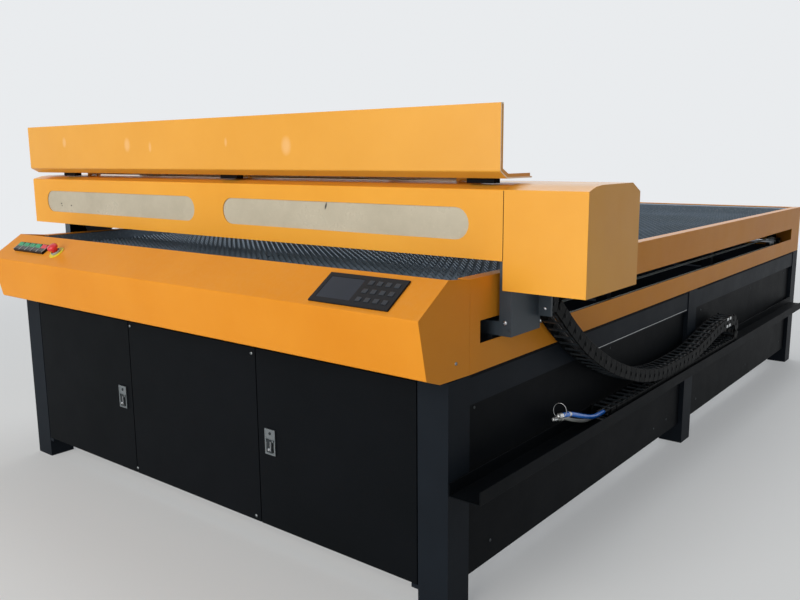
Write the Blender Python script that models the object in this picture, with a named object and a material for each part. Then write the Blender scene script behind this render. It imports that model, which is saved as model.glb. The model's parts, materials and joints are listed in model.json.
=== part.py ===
# Flatbed gantry laser cutting machine, metres, +Z up, operator side towards -Y.
# Stations along the machine are measured from the front face of the legs.
import math

import bmesh
import bpy
from mathutils import Matrix, Vector

# Overall sizes
BODY_WIDTH = 2.164
BODY_LENGTH = 3.650
SHEET = 0.003
FIT = 0.0003

# Welded frame
LEG = 0.100
LEG_TOP = 0.6755
FRAME_SETBACK = 0.020
SIDE_BEAM_LOW = 0.590
SIDE_BEAM_TOP = 0.700
SIDE_BEAM_WIDTH = 0.117
CROSS_BAR = 0.060
CROSS_STATIONS = (1.200, 2.400)
POST_WIDTH = 0.040
SILL_LOW = 0.085
SILL_HEIGHT = 0.040

# Bed with its slats
BED_LOW = 0.820
BED_THICK = 0.040
BED_TUBE = 0.160
SLAT_HEIGHT = 0.040
SLAT_THICK = 0.004
SLAT_PITCH = 0.050
SLAT_SIDE_MARGIN = 0.047
SLAT_END_MARGIN = 0.090
GRID_BAR = 0.006

# Orange side covers and their long slot
COVER_LOW = 0.676
COVER_TOP = 0.933
COVER_SEAM = 0.097
COVER_FLANGE = 0.040
SLOT_LOW = 0.754
SLOT_HIGH = 0.816
SLOT_FRONT = 0.147
SLOT_REAR_MARGIN = 0.180

# Front console, a folded sheet that overhangs the legs
APRON_REACH = 0.128
RIDGE_HEIGHT = 0.858
CONSOLE_REAR_HEIGHT = 0.943
FACE_LOW_REACH = 0.094
FACE_LOW_HEIGHT = 0.700
UNDER_REACH = 0.037
CONSOLE_LIP = 0.043

# Front doors and panels
PANEL_LOW = 0.083
PANEL_TOP = 0.663
DOOR_DEPTH = 0.016
DOOR_GAP = 0.004
SEAM_X = 0.345
DOOR_PIN_R = 0.003
DOOR_PIN_INSET = 0.008
DOOR_PIN_LENGTH = 0.011
PAN_WALL = 0.002
SIDE_PANEL_SETBACK = 0.0187

# Door latches
LATCH_WIDTH = 0.046
LATCH_HEIGHT = 0.084
LATCH_LOW = 0.327
LATCH_FROM_SEAM = 0.035
LATCH_THICK = 0.0036
PADDLE_WIDTH = 0.026
PADDLE_HEIGHT = 0.040
PADDLE_THICK = 0.003
PADDLE_PIN_DROP = 0.036
PADDLE_PIN_R = 0.001
LATCH_EAR = 0.004

# Tray and drag chain outside the right legs
TRAY_LOW = 0.367
TRAY_WIDTH = 0.099
TRAY_LIP = 0.038
TRAY_REAR_MARGIN = 0.100
CHAIN_WIDTH = 0.076
CHAIN_NECK = 0.064
CHAIN_HEIGHT = 0.045
CHAIN_NECK_HEIGHT = 0.036
CHAIN_PITCH = 0.045
CHAIN_LINK_SHARE = 0.78
CHAIN_BEND = 0.055
CHAIN_BEND_AT = 2.130
CHAIN_FIXED_AT = 0.820
CHAIN_FALL = ((0.418, 0.826), (0.457, 0.796), (0.540, 0.728), (0.660, 0.645), (0.846, 0.551), (1.079, 0.473))
CHAIN_START_HEIGHT = 0.834
CHAIN_LANDING_AT = 1.300
CHAIN_LIFT_AT = 1.600
CHAIN_RISE = ((1.763, 0.460), (1.950, 0.493))

# Linear rails along the side beams
RAIL_WIDTH = 0.030
RAIL_HEIGHT = 0.028
RAIL_INSET = 0.052
RAIL_START = 0.120
RAIL_REAR_MARGIN = 0.200

# Belt drive
BELT_INSET = 0.107
BELT_WIDTH = 0.018
BELT_THICK = 0.002
PULLEY_R = 0.024
PULLEY_FLANGE_R = 0.026
PULLEY_WIDTH = 0.024
DRIVE_RISE = 0.0345
DRIVE_REAR_MARGIN = 0.140
IDLER_AT = 0.160
SHAFT_R = 0.010
IDLER_AXLE_R = 0.006
BEARING_INSET = 0.080
BEARING_WIDTH = 0.014
BEARING_DEPTH = 0.040
MOTOR_X = -0.520
MOTOR_WIDTH = 0.130
MOTOR_DEPTH = 0.080
MOTOR_RISE = 0.0555

# Gantry
GANTRY_OVERHANG = 0.270
GANTRY_FRONT = 0.213
GANTRY_DEPTH = 0.319
GANTRY_CLEAR = 0.270
GANTRY_HEIGHT = 0.205
GANTRY_SLOPE = 0.015
GANTRY_REAR_SLOPE = 0.025
END_BOX_WIDTH = 0.244
END_BOX_DROP = 0.080
WINDOW_GAP = 0.160
WINDOW_HEIGHT = 0.090
WINDOW_MARGIN = 0.110
WINDOW_RISE = 0.095
WINDOW_LAP = 0.012
BEAM_SETBACK = 0.187
BEAM_DEPTH = 0.075
BEAM_RISE = 0.030
LEG_CLEAR = 0.0105
CARRIER_THICK = 0.0385
CARRIER_SETBACK = 0.012
CARRIER_DEPTH = 0.160
CARRIER_WAIST_DROP = 0.070
CARRIER_NECK_SETBACK = 0.075
CARRIER_NECK_DEPTH = 0.175
CARRIER_SHOULDER_RISE = 0.140
CHAIN_BRACKET_THICK = 0.010
CHAIN_BRACKET_LOW = 0.800
TONGUE_CLEAR = 0.0012
TONGUE_THICK = 0.040
BLOCK_WIDTH = 0.060
BLOCK_CLEAR = 0.0004

# Cutting head inside the gantry
X_RAIL_DEPTH = 0.015
X_RAIL_HEIGHT = 0.020
X_RAIL_RISE = 0.080
X_RAIL_END_GAP = 0.032
HEAD_FROM_SIDE = 0.202
HEAD_PLATE_WIDTH = 0.120
HEAD_PLATE_HEIGHT = 0.100
HEAD_PLATE_DEPTH = 0.040
HEAD_R = 0.022
HEAD_ABOVE_RAIL = 0.045
HEAD_BELOW_RAIL = 0.085
NOZZLE_LENGTH = 0.050
NOZZLE_R = 0.006

# Laser tube on the gantry and its tilting hood
TUBE_R = 0.040
TUBE_SETBACK = 0.235
TUBE_RISE = 0.080
TUBE_X0 = -0.950
TUBE_X1 = 0.750
CRADLE_BASE = 0.008
CRADLE_WIDTH = 0.030
CRADLE_DEPTH = 0.094
CRADLE_OVER = 0.040
CRADLE_STATIONS = (-0.780, -0.100, 0.580)
MIRROR_X = 0.840
MIRROR_SIZE = 0.050
HOOD_LEFT_MARGIN = 0.037
HOOD_SEAM_LAP = 0.004
HOOD_OVERHANG = 0.025
HOOD_FACE = 0.176
HOOD_FOLD_RISE = 0.019
HOOD_BEND = 0.035
HOOD_CLEAR = 0.014
HOOD_HINGE_GAP = 0.009
HOOD_SHEET = 0.004
HOOD_LIP = 0.013
HINGE_SETBACK = 0.150
HINGE_RISE = 0.0085
HINGE_PIN_R = 0.004
KNUCKLE_R = 0.0075
KNUCKLE_LENGTH = 0.060
HINGE_MID = -0.100
HINGE_LEFT_INSET = 0.215
HINGE_RIGHT_INSET = 0.212
PAD_MID = -0.030
PAD_LEFT_INSET = 0.235
PAD_RIGHT_INSET = 0.092
PAD_LENGTH = 0.090
PAD_DEPTH = 0.030
PAD_SETBACK = 0.022

# Controls on the sloping console top
SWITCH_FROM_SIDE = 0.107
SWITCH_PITCH = 0.044
SWITCH_COUNT = 5
SWITCH_SLOPE_AT = 0.077
SWITCH_LENGTH = 0.046
BANK_HEIGHT = 0.010
ROCKER_WIDTH = 0.034
ROCKER_LENGTH = 0.034
ROCKER_TILT = math.radians(8)
ROCKER_AXIS_HEIGHT = 0.007
ESTOP_FROM_SIDE = 0.402
ESTOP_SLOPE_AT = 0.072
ESTOP_PLATE_R = 0.030
ESTOP_R = 0.020
ESTOP_STEM_R = 0.012
DISPLAY_WIDTH = 0.278
DISPLAY_FROM_SIDE = 0.104
DISPLAY_SLOPE0 = 0.016
DISPLAY_SLOPE1 = 0.132
DISPLAY_THICK = 0.006

# Hose ends at the fixed end of the chain
BLUE_HOSE_R = 0.008
WHITE_HOSE_R = 0.006
HOSE_X = 1.130
BLUE_ROUTE = ((0.000, 0.400), (-0.080, 0.405), (-0.160, 0.428), (-0.240, 0.455), (-0.310, 0.468))
WHITE_ROUTE = ((0.000, 0.385), (-0.080, 0.388), (-0.160, 0.409), (-0.240, 0.437), (-0.300, 0.450))

# Worked out from the sizes above
HALF = BODY_WIDTH / 2
Y_FRONT = -(BODY_LENGTH - APRON_REACH) / 2
BEAM_OUTER = HALF - SHEET - FIT
BED_TOP = BED_LOW + BED_THICK - FIT
MID_LEG_AT = (BODY_LENGTH - LEG) / 2
SLOT_REAR = BODY_LENGTH - SLOT_REAR_MARGIN
TRAY_LENGTH = BODY_LENGTH - TRAY_REAR_MARGIN
RAIL_END = BODY_LENGTH - RAIL_REAR_MARGIN
DRIVE_AT = BODY_LENGTH - DRIVE_REAR_MARGIN
DRIVE_HEIGHT = SIDE_BEAM_TOP + DRIVE_RISE
MOTOR_TOP = DRIVE_HEIGHT + MOTOR_RISE
GANTRY_HALF = HALF + GANTRY_OVERHANG
GANTRY_LOW = SIDE_BEAM_TOP + GANTRY_CLEAR
GANTRY_TOP = GANTRY_LOW + GANTRY_HEIGHT
GANTRY_SHOULDER = GANTRY_TOP - GANTRY_SLOPE
GANTRY_REAR_SHOULDER = GANTRY_TOP - GANTRY_REAR_SLOPE
GANTRY_REAR = GANTRY_FRONT + GANTRY_DEPTH
COVER_X1 = GANTRY_HALF - END_BOX_WIDTH
WINDOW_LENGTH = (GANTRY_HALF + COVER_X1 - 2 * WINDOW_MARGIN - WINDOW_GAP) / 2
END_BOX_LOW = GANTRY_LOW - END_BOX_DROP
WINDOW_MID_HEIGHT = GANTRY_LOW + WINDOW_RISE
BEAM_FRONT = GANTRY_FRONT + BEAM_SETBACK
BEAM_LOW = GANTRY_LOW + BEAM_RISE
CARRIER_FRONT = GANTRY_FRONT + CARRIER_SETBACK
CARRIER_WAIST = GANTRY_LOW - CARRIER_WAIST_DROP
CARRIER_NECK_FRONT = CARRIER_FRONT + CARRIER_NECK_SETBACK
CARRIER_NECK_REAR = CARRIER_NECK_FRONT + CARRIER_NECK_DEPTH
CARRIER_SHOULDER = GANTRY_LOW + CARRIER_SHOULDER_RISE
TONGUE_LOW = DRIVE_HEIGHT + PULLEY_R + FIT + BELT_THICK + TONGUE_CLEAR
X_RAIL_MID = BEAM_LOW + X_RAIL_RISE
X_RAIL_HALF = HALF - X_RAIL_END_GAP
HEAD_X = HALF - HEAD_FROM_SIDE
HEAD_TOP = X_RAIL_MID + HEAD_ABOVE_RAIL
HEAD_SHOULDER = X_RAIL_MID - HEAD_BELOW_RAIL
NOZZLE_TIP = HEAD_SHOULDER - NOZZLE_LENGTH
TUBE_Y = GANTRY_FRONT + TUBE_SETBACK
TUBE_HEIGHT = GANTRY_TOP + TUBE_RISE
CRADLE_TOP = TUBE_HEIGHT + TUBE_R + CRADLE_OVER
HINGE_Y = GANTRY_FRONT + HINGE_SETBACK
HINGE_HEIGHT = GANTRY_TOP + HINGE_RISE
HOOD_X0 = HOOD_LEFT_MARGIN - GANTRY_HALF
HOOD_X1 = COVER_X1 + HOOD_SEAM_LAP
HINGE_STATIONS = (HOOD_X0 + HINGE_LEFT_INSET, HINGE_MID, HOOD_X1 - HINGE_RIGHT_INSET)
PAD_X = (HOOD_X0 + PAD_LEFT_INSET, PAD_MID, HOOD_X1 - PAD_RIGHT_INSET)
HOOD_FRONT = GANTRY_FRONT - HOOD_OVERHANG
HOOD_LOW = GANTRY_TOP + HOOD_CLEAR
HOOD_CORNER = HOOD_LOW + HOOD_FOLD_RISE
HOOD_TOP = HOOD_CORNER + HOOD_FACE
HOOD_REAR = HINGE_Y - HOOD_HINGE_GAP
PAD_Y = GANTRY_FRONT + PAD_SETBACK
SWITCH_X0 = SWITCH_FROM_SIDE - HALF
ESTOP_X = ESTOP_FROM_SIDE - HALF
DISPLAY_X1 = HALF - DISPLAY_FROM_SIDE
DISPLAY_X0 = DISPLAY_X1 - DISPLAY_WIDTH
CARRIER_X = HALF + LEG_CLEAR
CHAIN_X = HALF + FIT + SHEET + (TRAY_WIDTH - 2 * SHEET) / 2

materials = {}
cutter_count = 0


def clear_scene():
    for obj in list(bpy.data.objects):
        bpy.data.objects.remove(obj, do_unlink=True)


def make_material(name, color, roughness, metallic=0.0, alpha=1.0):
    mat = bpy.data.materials.new(name)
    mat.use_nodes = True
    shader = mat.node_tree.nodes["Principled BSDF"]
    shader.inputs["Base Color"].default_value = (*color, 1.0)
    shader.inputs["Roughness"].default_value = roughness
    shader.inputs["Metallic"].default_value = metallic
    shader.inputs["Alpha"].default_value = alpha
    materials[name] = mat


def make_materials():
    make_material("orange_paint", (0.86, 0.36, 0.05), 0.42)
    make_material("black_paint", (0.018, 0.022, 0.026), 0.5)
    make_material("steel", (0.55, 0.56, 0.58), 0.35, 1.0)
    make_material("aluminium", (0.70, 0.71, 0.73), 0.4, 1.0)
    make_material("slat_steel", (0.20, 0.22, 0.24), 0.5, 0.8)
    make_material("window_beige", (0.58, 0.55, 0.45), 0.5)
    make_material("chain_plastic", (0.015, 0.017, 0.02), 0.55)
    make_material("rubber", (0.02, 0.02, 0.02), 0.8)
    make_material("tube_glass", (0.85, 0.9, 0.92), 0.08, 0.0, 0.5)
    make_material("switch_green", (0.02, 0.35, 0.16), 0.35)
    make_material("switch_red", (0.75, 0.03, 0.05), 0.35)
    make_material("signal_yellow", (0.85, 0.75, 0.04), 0.5)
    make_material("hose_blue", (0.02, 0.10, 0.50), 0.3)
    make_material("hose_white", (0.75, 0.76, 0.72), 0.35)
    make_material("display_dark", (0.012, 0.015, 0.04), 0.25)


def at(station):
    return Y_FRONT + station


def new_object(name, bm, material=None, smooth=False):
    bmesh.ops.recalc_face_normals(bm, faces=bm.faces)
    mesh = bpy.data.meshes.new(name)
    bm.to_mesh(mesh)
    bm.free()
    if smooth:
        mesh.shade_smooth()
        mesh.set_sharp_from_angle(angle=math.radians(35))
    obj = bpy.data.objects.new(name, mesh)
    bpy.context.scene.collection.objects.link(obj)
    if material:
        mesh.materials.append(materials[material])
    return obj


def box(name, x0, x1, y0, y1, z0, z1, material=None):
    bm = bmesh.new()
    bmesh.ops.create_cube(bm, size=1.0)
    size = Vector((abs(x1 - x0), abs(y1 - y0), z1 - z0))
    centre = Vector(((x0 + x1) / 2, (y0 + y1) / 2, (z0 + z1) / 2))
    bmesh.ops.scale(bm, vec=size, verts=bm.verts)
    bmesh.ops.translate(bm, vec=centre, verts=bm.verts)
    return new_object(name, bm, material)


def prism_x(name, outline, x0, x1, material=None, smooth=False):
    # outline is a list of (y, z) points, extruded along X
    bm = bmesh.new()
    ring = [bm.verts.new((x0, y, z)) for y, z in outline]
    face = bm.faces.new(ring)
    grown = bmesh.ops.extrude_face_region(bm, geom=[face])
    moved = [v for v in grown["geom"] if isinstance(v, bmesh.types.BMVert)]
    bmesh.ops.translate(bm, vec=(x1 - x0, 0, 0), verts=moved)
    return new_object(name, bm, material, smooth)


def prism_y(name, outline, y0, y1, material=None, smooth=False):
    # outline is a list of (x, z) points, extruded along Y
    bm = bmesh.new()
    ring = [bm.verts.new((x, y0, z)) for x, z in outline]
    face = bm.faces.new(ring)
    grown = bmesh.ops.extrude_face_region(bm, geom=[face])
    moved = [v for v in grown["geom"] if isinstance(v, bmesh.types.BMVert)]
    bmesh.ops.translate(bm, vec=(0, y1 - y0, 0), verts=moved)
    return new_object(name, bm, material, smooth)


def turned(name, profile, origin, axis, material=None, sides=24):
    # profile is a list of (radius, height) points along axis, closed at both ends
    bm = bmesh.new()
    rings = []
    for radius, height in profile:
        ring = []
        for i in range(sides):
            a = 2 * math.pi * i / sides
            ring.append(bm.verts.new((radius * math.cos(a), radius * math.sin(a), height)))
        rings.append(ring)
    for low, high in zip(rings, rings[1:]):
        for i in range(sides):
            j = (i + 1) % sides
            bm.faces.new((low[i], low[j], high[j], high[i]))
    bm.faces.new(list(reversed(rings[0])))
    bm.faces.new(rings[-1])
    turn = Vector((0, 0, 1)).rotation_difference(Vector(axis)).to_matrix().to_4x4()
    bmesh.ops.transform(bm, matrix=Matrix.Translation(origin) @ turn, verts=bm.verts)
    return new_object(name, bm, material, smooth=True)


def rod_x(name, x0, x1, y, z, radius, material=None, sides=24):
    return turned(name, [(radius, 0), (radius, x1 - x0)], (x0, y, z), (1, 0, 0), material, sides)


def hide_cutter(obj):
    obj.hide_render = True
    obj.display_type = 'WIRE'


def combine(target, tools, operation):
    # one Boolean modifier takes all its tools from a collection
    global cutter_count
    cutter_count += 1
    group = bpy.data.collections.new("tools_%02d" % cutter_count)
    bpy.context.scene.collection.children.link(group)
    for tool in tools:
        for old in list(tool.users_collection):
            old.objects.unlink(tool)
        group.objects.link(tool)
        hide_cutter(tool)
    mod = target.modifiers.new(operation.lower(), 'BOOLEAN')
    mod.operation = operation
    mod.operand_type = 'COLLECTION'
    mod.collection = group
    mod.solver = 'EXACT'


def join_to(target, tools):
    combine(target, tools, 'UNION')


def cut_from(target, tools):
    combine(target, tools, 'DIFFERENCE')


def hang_on(obj, empty_name, point):
    # the moving piece turns or slides about an empty on its joint axis
    pivot = bpy.data.objects.new(empty_name, None)
    pivot.location = point
    bpy.context.scene.collection.objects.link(pivot)
    for piece in obj if isinstance(obj, (list, tuple)) else [obj]:
        piece.parent = pivot
        piece.matrix_parent_inverse = Matrix.Translation(-Vector(point))
    return pivot


def mirror_sides():
    return (("right", 1), ("left", -1))


def build_base_frame():
    end_x = HALF - FRAME_SETBACK
    end_y = BODY_LENGTH - FRAME_SETBACK
    frame = box("base_frame", -end_x, end_x, at(FRAME_SETBACK), at(FRAME_SETBACK + CROSS_BAR),
                SIDE_BEAM_LOW + 0.01, SIDE_BEAM_TOP, "black_paint")
    bars = [box("t", -end_x, end_x, at(end_y - CROSS_BAR), at(end_y), SIDE_BEAM_LOW + 0.01, SIDE_BEAM_TOP)]
    beam_inner = BEAM_OUTER - SIDE_BEAM_WIDTH
    for _, s in mirror_sides():
        for station in (0, MID_LEG_AT, BODY_LENGTH - LEG):
            bars.append(box("t", s * (HALF - LEG), s * HALF, at(station), at(station + LEG), 0, LEG_TOP))
        bars.append(box("t", s * beam_inner, s * BEAM_OUTER, at(0.021), at(BODY_LENGTH - 0.021),
                        SIDE_BEAM_LOW, SIDE_BEAM_TOP))
        panel_x = HALF - SIDE_PANEL_SETBACK - SHEET - FIT
        bars.append(box("t", s * (panel_x - CROSS_BAR), s * panel_x, at(0.05), at(BODY_LENGTH - 0.05),
                        SILL_LOW, SILL_LOW + SILL_HEIGHT))
        for station in (0.03, *CROSS_STATIONS, BODY_LENGTH - 0.08):
            bars.append(box("t", s * (beam_inner - POST_WIDTH), s * (beam_inner + 0.002),
                            at(station + 0.005), at(station + 0.045), SIDE_BEAM_TOP - 0.02, BED_LOW - FIT))
        stand_x = HALF - BEARING_INSET
        for station in (DRIVE_AT, IDLER_AT):
            bars.append(box("t", s * (stand_x - BEARING_WIDTH / 2), s * (stand_x + BEARING_WIDTH / 2),
                            at(station - BEARING_DEPTH / 2), at(station + BEARING_DEPTH / 2),
                            SIDE_BEAM_TOP - 0.01, DRIVE_HEIGHT + 0.020))
        hinge_x = HALF - LEG - DOOR_GAP - DOOR_PIN_INSET
        for z0, z1 in ((PANEL_TOP + 0.002, LEG_TOP), (PANEL_LOW - 0.014, PANEL_LOW - 0.002)):
            bars.append(box("t", s * (hinge_x - 0.012), s * (HALF - LEG + 0.01), at(0.001),
                            at(DOOR_DEPTH + 0.012), z0, z1))
    for station in CROSS_STATIONS:
        bars.append(box("t", -beam_inner - 0.01, beam_inner + 0.01, at(station), at(station + 0.05),
                        SIDE_BEAM_LOW + 0.02, SIDE_BEAM_TOP - 0.001))
    for station in (0.022, BODY_LENGTH - 0.062):
        bars.append(box("t", -HALF + LEG - 0.01, HALF - LEG + 0.01, at(station), at(station + 0.04),
                        SILL_LOW, SILL_LOW + SILL_HEIGHT))
    for s in (-1, 1):
        bars.append(box("t", s * (SEAM_X - 0.02), s * (SEAM_X + 0.02), at(0.023), at(0.053),
                        SILL_LOW + 0.01, SIDE_BEAM_LOW + 0.02))
    join_to(frame, bars)
    bores = []
    for _, s in mirror_sides():
        stand_x = s * (HALF - BEARING_INSET)
        reach = BEARING_WIDTH
        bores.append(rod_x("t", stand_x - reach, stand_x + reach, at(DRIVE_AT), DRIVE_HEIGHT,
                           SHAFT_R + FIT, sides=16))
        bores.append(rod_x("t", stand_x - reach, stand_x + reach, at(IDLER_AT), DRIVE_HEIGHT,
                           IDLER_AXLE_R + FIT, sides=16))
        hinge_x = s * (HALF - LEG - DOOR_GAP - DOOR_PIN_INSET)
        for z0, z1 in ((PANEL_TOP, LEG_TOP + 0.001), (PANEL_LOW - 0.016, PANEL_LOW)):
            bores.append(turned("t", [(DOOR_PIN_R + FIT, 0), (DOOR_PIN_R + FIT, z1 - z0)],
                                (hinge_x, at(DOOR_PIN_INSET), z0), (0, 0, 1), sides=16))
    cut_from(frame, bores)
    return frame


def build_bed():
    outer = BEAM_OUTER
    rear = BODY_LENGTH - SHEET - FIT
    bed = box("bed_frame", -outer, outer, at(FIT), at(rear), BED_LOW, BED_TOP, "black_paint")
    edge = outer - BED_TUBE
    stations = [FIT + 0.07, *CROSS_STATIONS, rear - 0.07]
    holes = []
    for i, (a, b) in enumerate(zip(stations, stations[1:])):
        start = a if i == 0 else a + 0.05
        holes.append(box("t", -edge, edge, at(start), at(b), BED_LOW - 0.01, BED_TOP + 0.01))
    cut_from(bed, holes)
    build_slat_grid()


def build_slat_grid():
    # a lattice of thin blades across the bed and three bars along it
    half = HALF - SLAT_SIDE_MARGIN
    start = SLAT_END_MARGIN
    count = int((BODY_LENGTH - 2 * SLAT_END_MARGIN) / SLAT_PITCH)
    z0 = BED_LOW + BED_THICK
    z1 = z0 + SLAT_HEIGHT
    xs = [-half, -half + GRID_BAR, -GRID_BAR / 2, GRID_BAR / 2, half - GRID_BAR, half]
    ys = []
    for i in range(count + 1):
        ys += [at(start + i * SLAT_PITCH), at(start + i * SLAT_PITCH + SLAT_THICK)]
    bm = bmesh.new()
    low = [[bm.verts.new((x, y, z0)) for x in xs] for y in ys]
    high = [[bm.verts.new((x, y, z1)) for x in xs] for y in ys]

    def solid(i, j):
        if not (0 <= i < len(xs) - 1 and 0 <= j < len(ys) - 1):
            return False
        return i % 2 == 0 or j % 2 == 0

    for j in range(len(ys) - 1):
        for i in range(len(xs) - 1):
            if not solid(i, j):
                continue
            bm.faces.new((high[j][i], high[j][i + 1], high[j + 1][i + 1], high[j + 1][i]))
            bm.faces.new((low[j][i], low[j + 1][i], low[j + 1][i + 1], low[j][i + 1]))
            if not solid(i - 1, j):
                bm.faces.new((low[j][i], high[j][i], high[j + 1][i], low[j + 1][i]))
            if not solid(i + 1, j):
                bm.faces.new((low[j][i + 1], low[j + 1][i + 1], high[j + 1][i + 1], high[j][i + 1]))
            if not solid(i, j - 1):
                bm.faces.new((low[j][i], low[j][i + 1], high[j][i + 1], high[j][i]))
            if not solid(i, j + 1):
                bm.faces.new((low[j + 1][i], high[j + 1][i], high[j + 1][i + 1], low[j + 1][i + 1]))
    new_object("slat_grid", bm, "slat_steel")


def build_covers():
    for side, s in mirror_sides():
        outline = [(s * HALF, COVER_LOW), (s * HALF, COVER_TOP), (s * (HALF - COVER_FLANGE), COVER_TOP),
                   (s * (HALF - COVER_FLANGE), COVER_TOP - SHEET), (s * (HALF - SHEET), COVER_TOP - SHEET),
                   (s * (HALF - SHEET), COVER_LOW)]
        cover = prism_y("side_cover_" + side, outline, at(COVER_SEAM + FIT), at(BODY_LENGTH), "orange_paint")
        slot = box("t", s * (HALF - 0.02), s * (HALF + 0.02), at(SLOT_FRONT), at(SLOT_REAR), SLOT_LOW, SLOT_HIGH)
        cut_from(cover, [slot])
    inner = HALF - SHEET - FIT
    rear = box("rear_cover", -inner, inner, at(BODY_LENGTH - SHEET), at(BODY_LENGTH),
               COVER_LOW, COVER_TOP - SHEET - FIT, "orange_paint")
    flange_x = HALF - COVER_FLANGE - FIT
    flange = box("t", -flange_x, flange_x, at(BODY_LENGTH - COVER_FLANGE), at(BODY_LENGTH - 0.0001),
                 COVER_TOP - 2 * SHEET, COVER_TOP)
    join_to(rear, [flange])


def console_outline():
    # (station, height) points of the folded console from its rear bottom corner round the front
    return [(COVER_SEAM, COVER_LOW), (-UNDER_REACH, COVER_LOW + 0.004), (-FACE_LOW_REACH, FACE_LOW_HEIGHT),
            (-APRON_REACH, RIDGE_HEIGHT), (0, CONSOLE_REAR_HEIGHT), (COVER_SEAM, COVER_TOP)]


def offset_outline(points, distance):
    # moves every edge of a closed outline inwards by the sheet thickness
    moved = []
    count = len(points)
    area = sum(points[i][0] * points[(i + 1) % count][1] - points[(i + 1) % count][0] * points[i][1]
               for i in range(count))
    sign = 1 if area > 0 else -1
    for i in range(count):
        p0, p1, p2 = (Vector(points[(i + k) % count]) for k in (-1, 0, 1))
        d1 = (p1 - p0).normalized()
        d2 = (p2 - p1).normalized()
        n1 = Vector((-d1.y, d1.x)) * sign
        n2 = Vector((-d2.y, d2.x)) * sign
        mitre = (n1 + n2).normalized()
        moved.append(p1 + mitre * (distance / mitre.dot(n1)))
    return [(p.x, p.y) for p in moved]


def build_console():
    outer = console_outline()
    console = prism_x("front_console", [(at(y), z) for y, z in outer], -HALF, HALF, "orange_paint")
    inner = offset_outline(outer, SHEET)
    side = HALF - SHEET
    front = [(y, z) for y, z in inner[1:4]]
    slope_end = (-SHEET, inner[4][1] - SHEET * 0.5)
    hollow = [(-SHEET, COVER_LOW - 0.02), (front[0][0], COVER_LOW - 0.02), *front, slope_end]
    hollow_tool = prism_x("t", [(at(y), z) for y, z in hollow], -side, side)
    back = box("t", -side, side, at(0), at(COVER_SEAM + 0.05), COVER_LOW - 0.05, CONSOLE_REAR_HEIGHT + 0.04)
    below = box("t", -side, side, at(-0.02), at(0.01), COVER_LOW - 0.05, CONSOLE_REAR_HEIGHT - CONSOLE_LIP)
    cut_from(console, [hollow_tool, back, below])


def pan(name, x0, x1, y0, y1, z0, z1, material):
    # folded door or panel: a face with its edges turned back, open behind
    panel = box(name, x0, x1, y0, y1, z0, z1, material)
    cut_from(panel, [box("t", x0 + PAN_WALL, x1 - PAN_WALL, y0 + PAN_WALL, y1 + 0.01,
                         z0 + PAN_WALL, z1 - PAN_WALL)])
    return panel


def build_front():
    pan("middle_front_panel", -SEAM_X + DOOR_GAP / 2, SEAM_X - DOOR_GAP / 2, at(0), at(FRAME_SETBACK - FIT),
        PANEL_LOW, PANEL_TOP, "black_paint")
    for side, s in mirror_sides():
        inner_x = SEAM_X + DOOR_GAP / 2
        outer_x = HALF - LEG - DOOR_GAP
        x0, x1 = sorted((s * inner_x, s * outer_x))
        door = pan("front_door_" + side, x0, x1, at(0), at(DOOR_DEPTH), PANEL_LOW, PANEL_TOP, "black_paint")
        pin_x = s * (outer_x - DOOR_PIN_INSET)
        pins = []
        for z0 in (PANEL_TOP - 0.001, PANEL_LOW - DOOR_PIN_LENGTH):
            pins.append(turned("t", [(DOOR_PIN_R, 0), (DOOR_PIN_R, DOOR_PIN_LENGTH + 0.001)],
                               (pin_x, at(DOOR_PIN_INSET), z0), (0, 0, 1), sides=16))
        join_to(door, pins)
        latch, paddle = build_latch(side, s)
        hang_on([door, latch, paddle], "door_axis_" + side, (pin_x, at(DOOR_PIN_INSET), PANEL_LOW))


def build_latch(side, s):
    mid = s * (SEAM_X + LATCH_FROM_SEAM + LATCH_WIDTH / 2)
    face = at(-FIT)
    plate = box("latch_plate_" + side, mid - LATCH_WIDTH / 2, mid + LATCH_WIDTH / 2,
                face - LATCH_THICK, face, LATCH_LOW, LATCH_LOW + LATCH_HEIGHT, "steel")
    pin_z = LATCH_LOW + LATCH_HEIGHT - PADDLE_PIN_DROP
    pin_y = face - LATCH_THICK - FIT - PADDLE_THICK / 2
    ears = []
    for e in (-1, 1):
        x0 = mid + e * (PADDLE_WIDTH / 2 + FIT)
        ears.append(box("t", x0, x0 + e * LATCH_EAR, pin_y - 0.003, face - LATCH_THICK + 0.001,
                        pin_z - 0.004, pin_z + 0.004))
    join_to(plate, ears)
    cut_from(plate, [rod_x("t", mid - PADDLE_WIDTH / 2 - 0.003, mid + PADDLE_WIDTH / 2 + 0.003,
                           pin_y, pin_z, PADDLE_PIN_R + FIT, sides=12)])
    paddle = rod_x("latch_paddle_" + side, mid - PADDLE_WIDTH / 2, mid + PADDLE_WIDTH / 2,
                   pin_y, pin_z, PADDLE_THICK / 2, "steel", sides=16)
    blade_x = PADDLE_WIDTH / 2 - 0.0005
    blade_y = PADDLE_THICK / 2 - 0.0002
    pin_x = PADDLE_WIDTH / 2 + 0.0025
    blade = box("t", mid - blade_x, mid + blade_x, pin_y - blade_y, pin_y + blade_y,
                pin_z - PADDLE_HEIGHT, pin_z)
    pin = rod_x("t", mid - pin_x, mid + pin_x, pin_y, pin_z, PADDLE_PIN_R, sides=12)
    join_to(paddle, [blade, pin])
    return plate, paddle


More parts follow.
